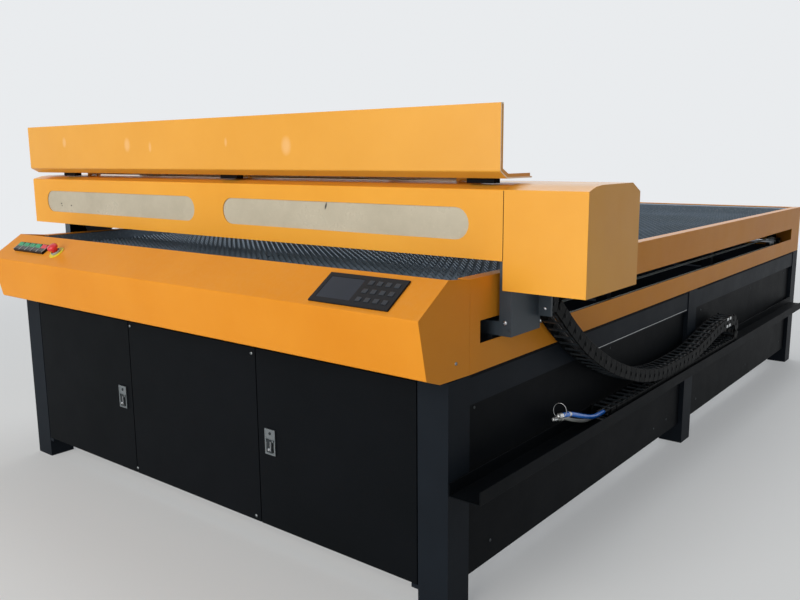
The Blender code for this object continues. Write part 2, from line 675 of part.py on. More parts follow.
def build_side_panels():
    outer = HALF - SIDE_PANEL_SETBACK
    top = SIDE_BEAM_LOW - FIT
    for side, s in mirror_sides():
        for bay, y0, y1 in (("front", LEG, MID_LEG_AT), ("rear", MID_LEG_AT + LEG, BODY_LENGTH - LEG)):
            box("side_panel_%s_%s" % (side, bay), s * (outer - SHEET), s * outer, at(y0 + FIT), at(y1 - FIT),
                SILL_LOW, top, "black_paint")
    box("rear_panel", -HALF + LEG + FIT, HALF - LEG - FIT, at(BODY_LENGTH - FRAME_SETBACK + FIT),
        at(BODY_LENGTH - FRAME_SETBACK + FIT + SHEET), SILL_LOW, COVER_LOW - 0.001, "black_paint")


def build_tray():
    inner = HALF + FIT
    outer = HALF + TRAY_WIDTH
    top = TRAY_LOW + TRAY_LIP
    floor = TRAY_LOW + SHEET
    outline = [(inner, TRAY_LOW), (outer, TRAY_LOW), (outer, top), (outer - SHEET, top), (outer - SHEET, floor),
               (inner + SHEET, floor), (inner + SHEET, top), (inner, top)]
    prism_y("chain_tray", outline, at(0.001), at(TRAY_LENGTH), "black_paint")


def smooth_line(points, steps):
    # a smooth curve through all the points, with its ends kept
    fine = []
    last = len(points) - 1
    for i in range(last):
        p0, p1, p2, p3 = (Vector(points[min(max(i + k, 0), last)]) for k in (-1, 0, 1, 2))
        for k in range(steps):
            t = k / steps
            fine.append(0.5 * (2 * p1 + (p2 - p0) * t + (2 * p0 - 5 * p1 + 4 * p2 - p3) * t * t
                               + (3 * p1 - p0 - 3 * p2 + p3) * t ** 3))
    fine.append(Vector(points[-1]))
    return fine


def chain_path():
    # (station, height) points of the chain's centre line from the gantry to its fixed end
    low = TRAY_LOW + SHEET + FIT + CHAIN_HEIGHT / 2
    upper = low + CHAIN_HEIGHT + FIT
    crest = low + 2 * CHAIN_BEND
    start = CARRIER_FRONT + CARRIER_DEPTH + FIT
    course = [(start + CHAIN_BRACKET_THICK, CHAIN_START_HEIGHT), *CHAIN_FALL, (CHAIN_LANDING_AT, upper),
              (CHAIN_LIFT_AT, upper), *CHAIN_RISE, (CHAIN_BEND_AT, crest)]
    points = [(start, CHAIN_START_HEIGHT)] + [tuple(p) for p in smooth_line(course, 6)]
    for i in range(1, 13):
        a = math.pi / 2 - math.pi * i / 12
        points.append((CHAIN_BEND_AT + CHAIN_BEND * math.cos(a), low + CHAIN_BEND + CHAIN_BEND * math.sin(a)))
    points.append((CHAIN_FIXED_AT, low))
    return points


def walk(points, distances):
    # places and headings at the given distances along a polyline
    found = []
    for d in distances:
        left = d
        for (y0, z0), (y1, z1) in zip(points, points[1:]):
            step = math.hypot(y1 - y0, z1 - z0)
            if left <= step + 1e-9:
                t = left / step
                found.append((y0 + (y1 - y0) * t, z0 + (z1 - z0) * t, math.atan2(z1 - z0, y1 - y0)))
                break
            left -= step
        else:
            raise ValueError("past the end of the chain")
    return found


def build_chain():
    points = chain_path()
    length = sum(math.hypot(b[0] - a[0], b[1] - a[1]) for a, b in zip(points, points[1:]))
    count = int(length / CHAIN_PITCH)
    pitch = length / (count - 1 + CHAIN_LINK_SHARE)
    sections = []
    for i in range(count):
        for share, wide in ((0.0, True), (CHAIN_LINK_SHARE, True), (CHAIN_LINK_SHARE, False), (1.0, False)):
            sections.append(((i + share) * pitch, wide))
    sections = sections[:-2]
    bm = bmesh.new()
    rings = []
    for (y, z, heading), (_, wide) in zip(walk(points, [s[0] for s in sections]), sections):
        w = (CHAIN_WIDTH if wide else CHAIN_NECK) / 2
        h = (CHAIN_HEIGHT if wide else CHAIN_NECK_HEIGHT) / 2
        up = Vector((0, -math.sin(heading), math.cos(heading)))
        centre = Vector((CHAIN_X, at(y), z))
        rings.append([bm.verts.new(centre + Vector((sx * w, 0, 0)) + up * (sz * h))
                      for sx, sz in ((-1, -1), (1, -1), (1, 1), (-1, 1))])
    for a, b in zip(rings, rings[1:]):
        for i in range(4):
            j = (i + 1) % 4
            bm.faces.new((a[i], a[j], b[j], b[i]))
    bm.faces.new(list(reversed(rings[0])))
    bm.faces.new(rings[-1])
    new_object("cable_chain", bm, "chain_plastic")


def build_hoses():
    for name, route, radius, shift in (("blue_hose", BLUE_ROUTE, BLUE_HOSE_R, 0.010),
                                       ("white_hose", WHITE_ROUTE, WHITE_HOSE_R, -0.012)):
        fine = smooth_line([(HOSE_X + shift, at(CHAIN_FIXED_AT + y) - 0.0004, z) for y, z in route], 4)
        curve = bpy.data.curves.new(name, 'CURVE')
        curve.dimensions = '3D'
        curve.bevel_depth = radius
        curve.bevel_resolution = 2
        curve.use_fill_caps = True
        spline = curve.splines.new('POLY')
        spline.points.add(len(fine) - 1)
        for point, co in zip(spline.points, fine):
            point.co = (*co, 1)
        curve.materials.append(materials["hose_" + name.split("_")[0]])
        obj = bpy.data.objects.new(name, curve)
        bpy.context.scene.collection.objects.link(obj)


def build_rails():
    for side, s in mirror_sides():
        x = s * (HALF - RAIL_INSET)
        w = RAIL_WIDTH / 2
        z0 = SIDE_BEAM_TOP + FIT
        z1 = z0 + RAIL_HEIGHT
        outline = [(x - w, z0), (x + w, z0), (x + w, z0 + 0.009), (x + w - 0.004, z0 + 0.013),
                   (x + w - 0.004, z1 - 0.010), (x + w, z1 - 0.006), (x + w - 0.001, z1),
                   (x - w + 0.001, z1), (x - w, z1 - 0.006), (x - w + 0.004, z1 - 0.010),
                   (x - w + 0.004, z0 + 0.013), (x - w, z0 + 0.009)]
        prism_y("linear_rail_" + side, outline, at(RAIL_START), at(RAIL_END), "steel")


def belt_outline(radius, y0, y1, z, steps=12):
    points = []
    for i in range(steps + 1):
        a = -math.pi / 2 + math.pi * i / steps
        points.append((y1 + radius * math.cos(a), z + radius * math.sin(a)))
    for i in range(steps + 1):
        a = math.pi / 2 + math.pi * i / steps
        points.append((y0 + radius * math.cos(a), z + radius * math.sin(a)))
    return points


def build_drive():
    y0, y1 = at(IDLER_AT), at(DRIVE_AT)
    shaft_half = HALF - BEARING_INSET + BEARING_WIDTH / 2 + 0.004
    shaft = rod_x("y_drive_shaft", -shaft_half, shaft_half, y1, DRIVE_HEIGHT, SHAFT_R, "steel")
    pulleys = []
    for side, s in mirror_sides():
        x = s * (HALF - BELT_INSET)
        belt = prism_x("y_belt_" + side, belt_outline(PULLEY_R + FIT + BELT_THICK, y0, y1, DRIVE_HEIGHT),
                       x - BELT_WIDTH / 2, x + BELT_WIDTH / 2, "rubber")
        inside = prism_x("t", belt_outline(PULLEY_R + FIT, y0, y1, DRIVE_HEIGHT),
                         x - BELT_WIDTH, x + BELT_WIDTH)
        cut_from(belt, [inside])
        for name, y, bore in (("drive_pulley_", y1, SHAFT_R), ("idler_pulley_", y0, None)):
            w = PULLEY_WIDTH
            f = (PULLEY_WIDTH - BELT_WIDTH - 0.001) / 2
            profile = [(PULLEY_FLANGE_R, 0), (PULLEY_FLANGE_R, f), (PULLEY_R, f), (PULLEY_R, w - f),
                       (PULLEY_FLANGE_R, w - f), (PULLEY_FLANGE_R, w)]
            pulley = turned(name + side, profile, (x - w / 2, y, DRIVE_HEIGHT), (1, 0, 0), "aluminium")
            if bore:
                cut_from(pulley, [rod_x("t", x - w, x + w, y, DRIVE_HEIGHT, bore + FIT)])
                pulleys.append(pulley)
            else:
                end = s * (HALF - BEARING_INSET + BEARING_WIDTH / 2 + 0.003)
                a, b = sorted((x, end))
                join_to(pulley, [rod_x("t", a, b, y, DRIVE_HEIGHT, IDLER_AXLE_R, sides=16)])
                hang_on(pulley, "idler_axis_" + side, (x, y, DRIVE_HEIGHT))
    hang_on([shaft, *pulleys], "drive_axis", (0, y1, DRIVE_HEIGHT))
    motor = box("y_motor", MOTOR_X - MOTOR_WIDTH / 2, MOTOR_X + MOTOR_WIDTH / 2, y1 - MOTOR_DEPTH / 2,
                y1 + MOTOR_DEPTH / 2, DRIVE_HEIGHT - 0.028, MOTOR_TOP, "black_paint")
    foot = box("t", MOTOR_X - MOTOR_WIDTH / 2, MOTOR_X + MOTOR_WIDTH / 2, y1 - MOTOR_DEPTH / 2,
               at(BODY_LENGTH - 0.03), SIDE_BEAM_TOP + FIT, DRIVE_HEIGHT - 0.020)
    join_to(motor, [foot])
    cut_from(motor, [rod_x("t", MOTOR_X - MOTOR_WIDTH, MOTOR_X + MOTOR_WIDTH, y1, DRIVE_HEIGHT, SHAFT_R + FIT)])


def gantry_outline(low):
    f, r = GANTRY_FRONT, GANTRY_REAR
    return [(f, low), (f, GANTRY_SHOULDER), (f + 0.039, GANTRY_TOP - 0.004), (f + 0.079, GANTRY_TOP),
            (r - 0.052, GANTRY_TOP), (r, GANTRY_REAR_SHOULDER), (r, low)]


def stadium(name, x0, x1, z0, z1, y0, y1, material=None):
    radius = (z1 - z0) / 2
    z = (z0 + z1) / 2
    outline = []
    for centre, start in ((x1 - radius, -math.pi / 2), (x0 + radius, math.pi / 2)):
        for i in range(11):
            a = start + math.pi * i / 10
            outline.append((centre + radius * math.cos(a), z + radius * math.sin(a)))
    return prism_y(name, outline, y0, y1, material)


def build_gantry():
    pieces = []
    front = at(GANTRY_FRONT)
    outer = [(at(y), z) for y, z in gantry_outline(GANTRY_LOW)]
    cover = prism_x("gantry_cover", outer, -GANTRY_HALF, COVER_X1 - FIT, "orange_paint")
    inner = offset_outline(gantry_outline(GANTRY_LOW - 0.02), SHEET)
    inner[0] = (inner[0][0], GANTRY_LOW - 0.02)
    inner[-1] = (inner[-1][0], GANTRY_LOW - 0.02)
    tools = [prism_x("t", [(at(y), z) for y, z in inner], -GANTRY_HALF + SHEET, COVER_X1 + 0.05)]
    for side, x0 in (("left", -GANTRY_HALF + WINDOW_MARGIN),
                     ("right", COVER_X1 - WINDOW_MARGIN - WINDOW_LENGTH)):
        z0 = WINDOW_MID_HEIGHT - WINDOW_HEIGHT / 2
        z1 = WINDOW_MID_HEIGHT + WINDOW_HEIGHT / 2
        tools.append(stadium("t", x0, x0 + WINDOW_LENGTH, z0, z1, front - 0.01, front + 0.01))
        pane = stadium("gantry_window_" + side, x0 - WINDOW_LAP, x0 + WINDOW_LENGTH + WINDOW_LAP,
                       z0 - WINDOW_LAP, z1 + WINDOW_LAP, front + SHEET + FIT, front + 2 * SHEET + FIT,
                       "window_beige")
        pieces.append(pane)
    ears = []
    for x in HINGE_STATIONS:
        for e in (-1, 1):
            x0 = x + e * (KNUCKLE_LENGTH / 2 + 0.0005)
            ears.append(box("t", x0, x0 + e * 0.012, at(HINGE_Y - 0.006), at(HINGE_Y + 0.006),
                            GANTRY_TOP - 0.002, HINGE_HEIGHT + 0.0065))
    cut_from(cover, tools)
    join_to(cover, ears)
    cut_from(cover, [rod_x("t", min(HINGE_STATIONS) - 0.05, max(HINGE_STATIONS) + 0.05, at(HINGE_Y),
                           HINGE_HEIGHT, HINGE_PIN_R + FIT, sides=16)])
    pieces.append(cover)
    box_outer = [(at(y), z) for y, z in gantry_outline(END_BOX_LOW)]
    end_box = prism_x("gantry_end_box", box_outer, COVER_X1, GANTRY_HALF, "orange_paint")
    deep = [(y, min(z, END_BOX_LOW - 0.02)) if z < GANTRY_LOW else (y, z) for y, z in inner]
    cut_from(end_box, [prism_x("t", [(at(y), z) for y, z in deep], COVER_X1 - 0.05, GANTRY_HALF - SHEET)])
    pieces.append(end_box)
    pieces.append(box("gantry_beam", -CARRIER_X + FIT, CARRIER_X - FIT, at(BEAM_FRONT),
                      at(BEAM_FRONT + BEAM_DEPTH), BEAM_LOW, GANTRY_TOP - SHEET - FIT, "aluminium"))
    pieces.append(box("x_rail", -X_RAIL_HALF, X_RAIL_HALF, at(BEAM_FRONT - X_RAIL_DEPTH), at(BEAM_FRONT - FIT),
                      X_RAIL_MID - X_RAIL_HEIGHT / 2, X_RAIL_MID + X_RAIL_HEIGHT / 2, "steel"))
    for side, s in mirror_sides():
        pieces.append(build_carrier(side, s))
    pieces += build_tube()
    for name, x in zip(("left", "middle", "right"), PAD_X):
        pieces.append(box("hood_pad_" + name, x - PAD_LENGTH / 2, x + PAD_LENGTH / 2, at(PAD_Y),
                          at(PAD_Y + PAD_DEPTH), GANTRY_TOP - 0.004 + 0.0045, HOOD_LOW - FIT, "rubber"))
    pieces.append(rod_x("hood_hinge_pin", min(HINGE_STATIONS) - 0.045, max(HINGE_STATIONS) + 0.045,
                        at(HINGE_Y), HINGE_HEIGHT, HINGE_PIN_R, "steel", sides=16))
    hood = build_hood()
    head = build_head()
    hang_on(pieces + hood + head, "gantry_axis", (0, at(GANTRY_FRONT), SIDE_BEAM_TOP))


def build_carrier(side, s):
    # upright outside the cover, tongue through its slot and block round the rail
    y0, y1 = at(CARRIER_FRONT), at(CARRIER_FRONT + CARRIER_DEPTH)
    top = GANTRY_TOP - SHEET - FIT
    neck0, neck1 = at(CARRIER_NECK_FRONT), at(CARRIER_NECK_REAR)
    outline = [(y0, TONGUE_LOW), (y1, TONGUE_LOW), (y1, CARRIER_WAIST), (neck1, GANTRY_LOW),
               (neck1, top), (neck0, top), (neck0, CARRIER_SHOULDER + 0.02), (y0, CARRIER_SHOULDER)]
    upright = prism_x("gantry_carrier_" + side, outline, s * CARRIER_X, s * (CARRIER_X + CARRIER_THICK),
                      "black_paint")
    belt_x = HALF - BELT_INSET - BELT_WIDTH / 2
    tongue = box("t", s * belt_x, s * (CARRIER_X + 0.01), y0 + 0.001, y1 - 0.001, TONGUE_LOW + 0.0005,
                 TONGUE_LOW + TONGUE_THICK)
    rail_x = HALF - RAIL_INSET
    rail_top = SIDE_BEAM_TOP + FIT + RAIL_HEIGHT
    block = box("t", s * (rail_x - BLOCK_WIDTH / 2), s * (rail_x + BLOCK_WIDTH / 2), y0 + 0.012, y1 - 0.012,
                rail_top - 0.016, TONGUE_LOW + 0.01)
    joined = [tongue, block]
    if side == "right":
        joined.append(box("t", CARRIER_X + 0.001, CHAIN_X + CHAIN_WIDTH / 2, y1 - CHAIN_BRACKET_THICK, y1,
                          CHAIN_BRACKET_LOW, CARRIER_WAIST - 0.010))
    join_to(upright, joined)
    w = RAIL_WIDTH / 2 + BLOCK_CLEAR
    groove = box("t", s * (rail_x - w), s * (rail_x + w), y0 - 0.01, y1 + 0.01, rail_top - 0.03,
                 rail_top + BLOCK_CLEAR)
    cut_from(upright, [groove])
    return upright


def build_tube():
    tube = rod_x("laser_tube", TUBE_X0, TUBE_X1, at(TUBE_Y), TUBE_HEIGHT, TUBE_R, "tube_glass", sides=28)
    y0 = at(TUBE_Y - CRADLE_DEPTH / 2)
    y1 = at(TUBE_Y + CRADLE_DEPTH / 2)
    foot = GANTRY_TOP + FIT
    cradle_end = MIRROR_X + MIRROR_SIZE
    y2 = at(GANTRY_REAR - 0.055)
    cradle = box("tube_cradle", CRADLE_STATIONS[0] - 0.05, cradle_end, y0 + 0.01, y2, foot, foot + CRADLE_BASE,
                 "aluminium")
    posts = [box("t", x - CRADLE_WIDTH / 2, x + CRADLE_WIDTH / 2, y0 + 0.001, min(y1, y2) - 0.001,
                 foot + 0.001, CRADLE_TOP)
             for x in CRADLE_STATIONS]
    join_to(cradle, posts)
    cut_from(cradle, [rod_x("t", TUBE_X0, TUBE_X1, at(TUBE_Y), TUBE_HEIGHT, TUBE_R + FIT, sides=28)])
    half = MIRROR_SIZE / 2
    mirror = box("mirror_mount", MIRROR_X - half, MIRROR_X + half, at(TUBE_Y) - half, at(TUBE_Y) + half - 0.003,
                 foot + CRADLE_BASE + FIT, TUBE_HEIGHT + half, "aluminium")
    cut = prism_y("t", [(MIRROR_X - half - 0.01, TUBE_HEIGHT - 0.012), (MIRROR_X + 0.006, TUBE_HEIGHT - 0.012),
                        (MIRROR_X + 0.006, TUBE_HEIGHT + 0.012), (MIRROR_X - half - 0.01, TUBE_HEIGHT + 0.012)],
                  at(TUBE_Y) - 0.012, at(TUBE_Y) + 0.012)
    cut_from(mirror, [cut])
    return [tube, cradle, mirror]


def build_hood():
    f, t = HOOD_FRONT, HOOD_SHEET
    b = HOOD_BEND
    outer = [(f + HOOD_LIP, HOOD_TOP), (f, HOOD_TOP), (f, HOOD_CORNER), (f + b, HOOD_LOW), (HOOD_REAR, HOOD_LOW)]
    slope = math.atan2(HOOD_CORNER - HOOD_LOW, b)
    k1 = t * math.tan((math.pi / 2 - slope) / 2)
    k2 = t * math.tan(slope / 2)
    inner = [(HOOD_REAR, HOOD_LOW + t), (f + b + k2, HOOD_LOW + t), (f + t, HOOD_CORNER + k1),
             (f + t, HOOD_TOP - t), (f + HOOD_LIP, HOOD_TOP - t)]
    hood = prism_x("tube_hood", [(at(y), z) for y, z in outer + inner], HOOD_X0, HOOD_X1, "orange_paint")
    lip = HOOD_LIP
    ends = []
    for x0, x1 in ((HOOD_X0, HOOD_X0 + t), (HOOD_X1 - t, HOOD_X1)):
        shape = [(f + 0.001, HOOD_TOP - 0.001), (f + 0.001, HOOD_CORNER), (f + b, HOOD_LOW + 0.001),
                 (HOOD_REAR - 0.01, HOOD_LOW + 0.001), (HOOD_REAR - 0.01, HOOD_LOW + lip),
                 (f + b + 0.006, HOOD_LOW + lip), (f + lip, HOOD_CORNER + 0.008), (f + lip, HOOD_TOP - 0.001)]
        ends.append(prism_x("t", [(at(y), z) for y, z in shape], x0 + 0.0002, x1 - 0.0002))
    knuckles = []
    for x in HINGE_STATIONS:
        half = KNUCKLE_LENGTH / 2
        knuckles.append(rod_x("t", x - half, x + half, at(HINGE_Y), HINGE_HEIGHT, KNUCKLE_R, sides=20))
        knuckles.append(box("t", x - half, x + half, at(HOOD_REAR - 0.012), at(HINGE_Y - 0.002),
                            HINGE_HEIGHT + 0.002, HOOD_LOW + t - 0.0005))
    join_to(hood, ends + knuckles)
    cut_from(hood, [rod_x("t", min(HINGE_STATIONS) - 0.05, max(HINGE_STATIONS) + 0.05, at(HINGE_Y),
                          HINGE_HEIGHT, HINGE_PIN_R + FIT, sides=16)])
    return [hang_on(hood, "hood_axis", (0, at(HINGE_Y), HINGE_HEIGHT))]


def build_head():
    rail_face = at(BEAM_FRONT - X_RAIL_DEPTH)
    plate_y1 = at(BEAM_FRONT) - 0.004
    plate_y0 = plate_y1 - HEAD_PLATE_DEPTH
    half = HEAD_PLATE_WIDTH / 2
    carriage = box("head_carriage", HEAD_X - half, HEAD_X + half, plate_y0, plate_y1,
                   X_RAIL_MID - HEAD_PLATE_HEIGHT / 2, X_RAIL_MID + HEAD_PLATE_HEIGHT / 2, "aluminium")
    groove = box("t", HEAD_X - half - 0.01, HEAD_X + half + 0.01, rail_face - BLOCK_CLEAR, plate_y1 + 0.01,
                 X_RAIL_MID - X_RAIL_HEIGHT / 2 - BLOCK_CLEAR, X_RAIL_MID + X_RAIL_HEIGHT / 2 + BLOCK_CLEAR)
    cut_from(carriage, [groove])
    y = plate_y0 - HEAD_R - 0.0004
    nozzle = turned("laser_head", [(NOZZLE_R, NOZZLE_TIP), (NOZZLE_R + 0.002, NOZZLE_TIP + 0.006),
                                   (HEAD_R * 0.7, HEAD_SHOULDER - 0.012), (HEAD_R, HEAD_SHOULDER),
                                   (HEAD_R, HEAD_TOP - 0.004), (HEAD_R - 0.003, HEAD_TOP)],
                    (HEAD_X, y, 0), (0, 0, 1), "aluminium")
    lift = hang_on(nozzle, "lift_axis", (HEAD_X, y, HEAD_TOP))
    return [hang_on([carriage, lift], "head_axis", (HEAD_X, plate_y0, X_RAIL_MID))]


def slope_frame():
    # local frame on the sloping console top: X across, Y up the slope, Z out of the sheet
    low = Vector((0, at(-APRON_REACH), RIDGE_HEIGHT))
    high = Vector((0, at(0), CONSOLE_REAR_HEIGHT))
    along = (high - low).normalized()
    out = Vector((1, 0, 0)).cross(along)
    frame = Matrix((Vector((1, 0, 0)), along, out)).transposed().to_4x4()
    frame.translation = low
    return frame


def on_slope(obj):
    obj.data.transform(slope_frame())
    return obj


def build_controls():
    x_end = SWITCH_X0 + SWITCH_COUNT * SWITCH_PITCH
    s0 = SWITCH_SLOPE_AT - SWITCH_LENGTH / 2
    bank = on_slope(box("switch_bank", SWITCH_X0, x_end, s0, s0 + SWITCH_LENGTH, FIT, BANK_HEIGHT, "steel"))
    pockets = []
    for i in range(SWITCH_COUNT):
        x = SWITCH_X0 + (i + 0.5) * SWITCH_PITCH
        w = ROCKER_WIDTH / 2 + FIT
        length = ROCKER_LENGTH / 2 + 0.0012
        pockets.append(on_slope(box("t", x - w, x + w, SWITCH_SLOPE_AT - length, SWITCH_SLOPE_AT + length,
                                    0.0025, BANK_HEIGHT + 0.01)))
    cut_from(bank, pockets)
    for i in range(SWITCH_COUNT):
        build_rocker(i)
    build_estop()
    on_slope(box("control_display", DISPLAY_X0, DISPLAY_X1, DISPLAY_SLOPE0, DISPLAY_SLOPE1, FIT, DISPLAY_THICK,
                 "display_dark"))


def build_rocker(index):
    x = SWITCH_X0 + (index + 0.5) * SWITCH_PITCH
    color = "switch_red" if index == SWITCH_COUNT - 1 else "switch_green"
    half = ROCKER_LENGTH / 2
    shape = [(-half, -0.001), (half, -0.001), (half, 0.006), (0, 0.0035), (-half, 0.006)]
    c, s = math.cos(ROCKER_TILT), math.sin(ROCKER_TILT)
    turned_shape = [(SWITCH_SLOPE_AT + a * c - b * s, ROCKER_AXIS_HEIGHT + a * s + b * c) for a, b in shape]
    rocker = on_slope(prism_x("rocker_switch_%d" % (index + 1), turned_shape, x - ROCKER_WIDTH / 2,
                              x + ROCKER_WIDTH / 2, color))
    pivot = slope_frame() @ Vector((x, SWITCH_SLOPE_AT, ROCKER_AXIS_HEIGHT))
    hang_on(rocker, "rocker_axis_%d" % (index + 1), pivot)


def build_estop():
    base = on_slope(turned("emergency_stop_base",
                           [(ESTOP_PLATE_R, FIT), (ESTOP_PLATE_R, 0.003), (ESTOP_STEM_R + 0.004, 0.003),
                            (ESTOP_STEM_R + 0.004, 0.014)],
                           (ESTOP_X, ESTOP_SLOPE_AT, 0), (0, 0, 1), "signal_yellow"))
    well = on_slope(turned("t", [(ESTOP_STEM_R + FIT, 0.004), (ESTOP_STEM_R + FIT, 0.03)],
                           (ESTOP_X, ESTOP_SLOPE_AT, 0), (0, 0, 1)))
    cut_from(base, [well])
    button = on_slope(turned("emergency_stop_button",
                             [(ESTOP_STEM_R, 0.010), (ESTOP_STEM_R, 0.021), (ESTOP_R, 0.023), (ESTOP_R, 0.030),
                              (ESTOP_R * 0.8, 0.035), (ESTOP_R * 0.4, 0.037)],
                             (ESTOP_X, ESTOP_SLOPE_AT, 0), (0, 0, 1), "switch_red"))
    hang_on(button, "estop_axis", slope_frame() @ Vector((ESTOP_X, ESTOP_SLOPE_AT, 0)))


def main():
    clear_scene()
    make_materials()
    build_base_frame()
    build_bed()
    build_covers()
    build_console()
    build_front()
    build_side_panels()
    build_tray()
    build_chain()
    build_hoses()
    build_rails()
    build_drive()
    build_gantry()
    build_controls()


main()
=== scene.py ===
import json
import math

import bpy
from mathutils import Matrix, Vector

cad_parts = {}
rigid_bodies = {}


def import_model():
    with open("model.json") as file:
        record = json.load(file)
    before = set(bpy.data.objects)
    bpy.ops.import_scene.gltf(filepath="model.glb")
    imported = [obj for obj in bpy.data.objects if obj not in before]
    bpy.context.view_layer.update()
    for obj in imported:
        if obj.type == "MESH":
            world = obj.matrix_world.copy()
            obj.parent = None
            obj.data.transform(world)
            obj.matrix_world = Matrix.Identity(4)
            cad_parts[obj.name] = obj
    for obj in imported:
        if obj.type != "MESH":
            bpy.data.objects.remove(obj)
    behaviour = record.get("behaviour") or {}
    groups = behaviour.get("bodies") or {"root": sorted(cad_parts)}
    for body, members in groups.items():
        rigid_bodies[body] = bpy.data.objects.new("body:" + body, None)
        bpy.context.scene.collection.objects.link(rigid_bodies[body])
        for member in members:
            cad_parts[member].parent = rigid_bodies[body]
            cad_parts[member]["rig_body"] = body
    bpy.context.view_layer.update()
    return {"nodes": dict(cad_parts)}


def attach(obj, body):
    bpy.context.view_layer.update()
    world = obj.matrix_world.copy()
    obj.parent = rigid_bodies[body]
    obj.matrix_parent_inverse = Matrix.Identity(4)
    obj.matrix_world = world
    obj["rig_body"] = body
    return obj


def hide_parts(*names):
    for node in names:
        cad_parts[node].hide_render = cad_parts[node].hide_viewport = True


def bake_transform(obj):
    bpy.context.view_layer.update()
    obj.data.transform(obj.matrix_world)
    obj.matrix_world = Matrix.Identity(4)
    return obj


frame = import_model()
print("frame loaded:", len(frame["nodes"]), "nodes")

legFront = -1.761  # y of the legs' front face: stations are measured from here


def st(station):
    return legFront + station


cameraView = {"at": (2.234, st(-1.640), 1.25), "yaw": 38.5855, "pitch": 10.0952, "roll": 0.40685,
              "focalPixels": 809.17, "widthPixels": 800, "sensor": 36, "clip": (0.05, 80)}


def newObject(name, data):
    made = bpy.data.objects.new(name, data)
    bpy.context.scene.collection.objects.link(made)
    return made


def makeCamera():
    look = cameraView
    yaw, pitch, roll = (math.radians(look[k]) for k in ("yaw", "pitch", "roll"))
    ahead = Vector((-math.sin(yaw) * math.cos(pitch), math.cos(yaw) * math.cos(pitch), -math.sin(pitch)))
    right = Vector((math.cos(yaw), math.sin(yaw), 0))
    down = ahead.cross(right)
    sideways = right * math.cos(roll) + down * math.sin(roll)
    upward = right * math.sin(roll) - down * math.cos(roll)
    turn = Matrix((sideways, upward, -ahead)).transposed().to_4x4()
    lens = bpy.data.cameras.new("camera")
    lens.sensor_width = look["sensor"]
    lens.lens = look["sensor"] * look["focalPixels"] / look["widthPixels"]
    lens.clip_start, lens.clip_end = look["clip"]
    camera = newObject("camera", lens)
    camera.matrix_world = Matrix.Translation(look["at"]) @ turn
    bpy.context.scene.camera = camera


makeCamera()
print("camera set")


courseSteps = 6


def smoothLine(points):
    # a smooth course through all the points, its ends kept
    fine = []
    last = len(points) - 1
    for i in range(last):
        p0, p1, p2, p3 = (Vector(points[min(max(i + k, 0), last)]) for k in (-1, 0, 1, 2))
        for k in range(courseSteps):
            t = k / courseSteps
            fine.append(0.5 * (2 * p1 + (p2 - p0) * t + (2 * p0 - 5 * p1 + 4 * p2 - p3) * t * t
                               + (3 * p1 - p0 - 3 * p2 + p3) * t ** 3))
    fine.append(Vector(points[-1]))
    return fine


def newCurve(name, points, thick, smoothness, radius=1.0):
    # a round bar along the points: its thickness times the radius at each point
    curve = bpy.data.curves.new(name, "CURVE")
    curve.dimensions = "3D"
    curve.bevel_depth = thick
    curve.bevel_resolution = smoothness
    curve.use_fill_caps = True
    spline = curve.splines.new("POLY")
    spline.points.add(len(points) - 1)
    for point, place in zip(spline.points, points):
        point.co = (*place, 1)
        point.radius = radius
    return curve


chainEnd = 0.820  # station where the drag chain is bolted down
hoseSetback = 0.0004  # the hoses start this far in front of it
hoses = {
    # route: (distance from the chain's end, height)
    "blue_hose": {"x": 1.140, "radius": 0.008, "color": "1C86FF", "clear": 0.0, "slot": "hose_blue",
                  "route": [(0, 0.400), (-0.080, 0.405), (-0.160, 0.428), (-0.240, 0.455), (-0.310, 0.468)]},
    "white_hose": {"x": 1.118, "radius": 0.006, "color": "F0F2EA", "clear": 0.10, "slot": "hose_white",
                   "route": [(0, 0.385), (-0.080, 0.388), (-0.160, 0.409), (-0.240, 0.437), (-0.300, 0.450)]},
}


def makeHose(name):
    look = hoses[name]
    line = smoothLine([(look["x"], st(chainEnd + y) - hoseSetback, z) for y, z in look["route"]])
    hose = newObject(name + "_tube", newCurve(name + "_line", line, 1.0, 6, look["radius"]))
    look["line"] = line
    look["piece"] = hose
    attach(hose, "bench")
    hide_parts(name)


for name in hoses:
    makeHose(name)
print("hoses laid")


class Wire:
    # a shader socket that takes part in sums
    def __init__(self, book, socket):
        self.book = book
        self.socket = socket

    def sum(self, operation, other, flipped=False):
        pair = (other, self) if flipped else (self, other)
        return self.book.node("ShaderNodeMath", {"operation": operation}, {0: pair[0], 1: pair[1]})

    def __add__(self, other):
        return self.sum("ADD", other)

    def __sub__(self, other):
        return self.sum("SUBTRACT", other)

    def __rsub__(self, other):
        return self.sum("SUBTRACT", other, True)

    def __mul__(self, other):
        return self.sum("MULTIPLY", other)

    def __truediv__(self, other):
        return self.sum("DIVIDE", other)

    __radd__ = __add__
    __rmul__ = __mul__


class NodeBook:
    # the nodes of a material or of the world
    def __init__(self, tree):
        self.tree = tree

    def node(self, kind, settings=None, values=None, out=0):
        made = self.tree.nodes.new(kind)
        for key, value in (settings or {}).items():
            if key == "stops":
                for element, (position, shade) in zip(made.color_ramp.elements, value):
                    element.position = position
                    element.color = (shade, shade, shade, 1)
            else:
                setattr(made, key, value)
        for key, value in (values or {}).items():
            self.feed(made.inputs[key], value)
        return Wire(self, made.outputs[out])

    def feed(self, socket, value):
        if isinstance(value, Wire):
            self.tree.links.new(value.socket, socket)
        else:
            socket.default_value = value

    def seenRays(self, operation):
        # 1 for the camera's rays and those mirrored or let through, 0 for the light itself
        camera = self.node("ShaderNodeLightPath", out="Is Camera Ray")
        glossy, through = (Wire(self, camera.socket.node.outputs["Is %s Ray" % kind])
                           for kind in ("Glossy", "Transmission"))
        return camera.sum(operation, glossy).sum(operation, through)


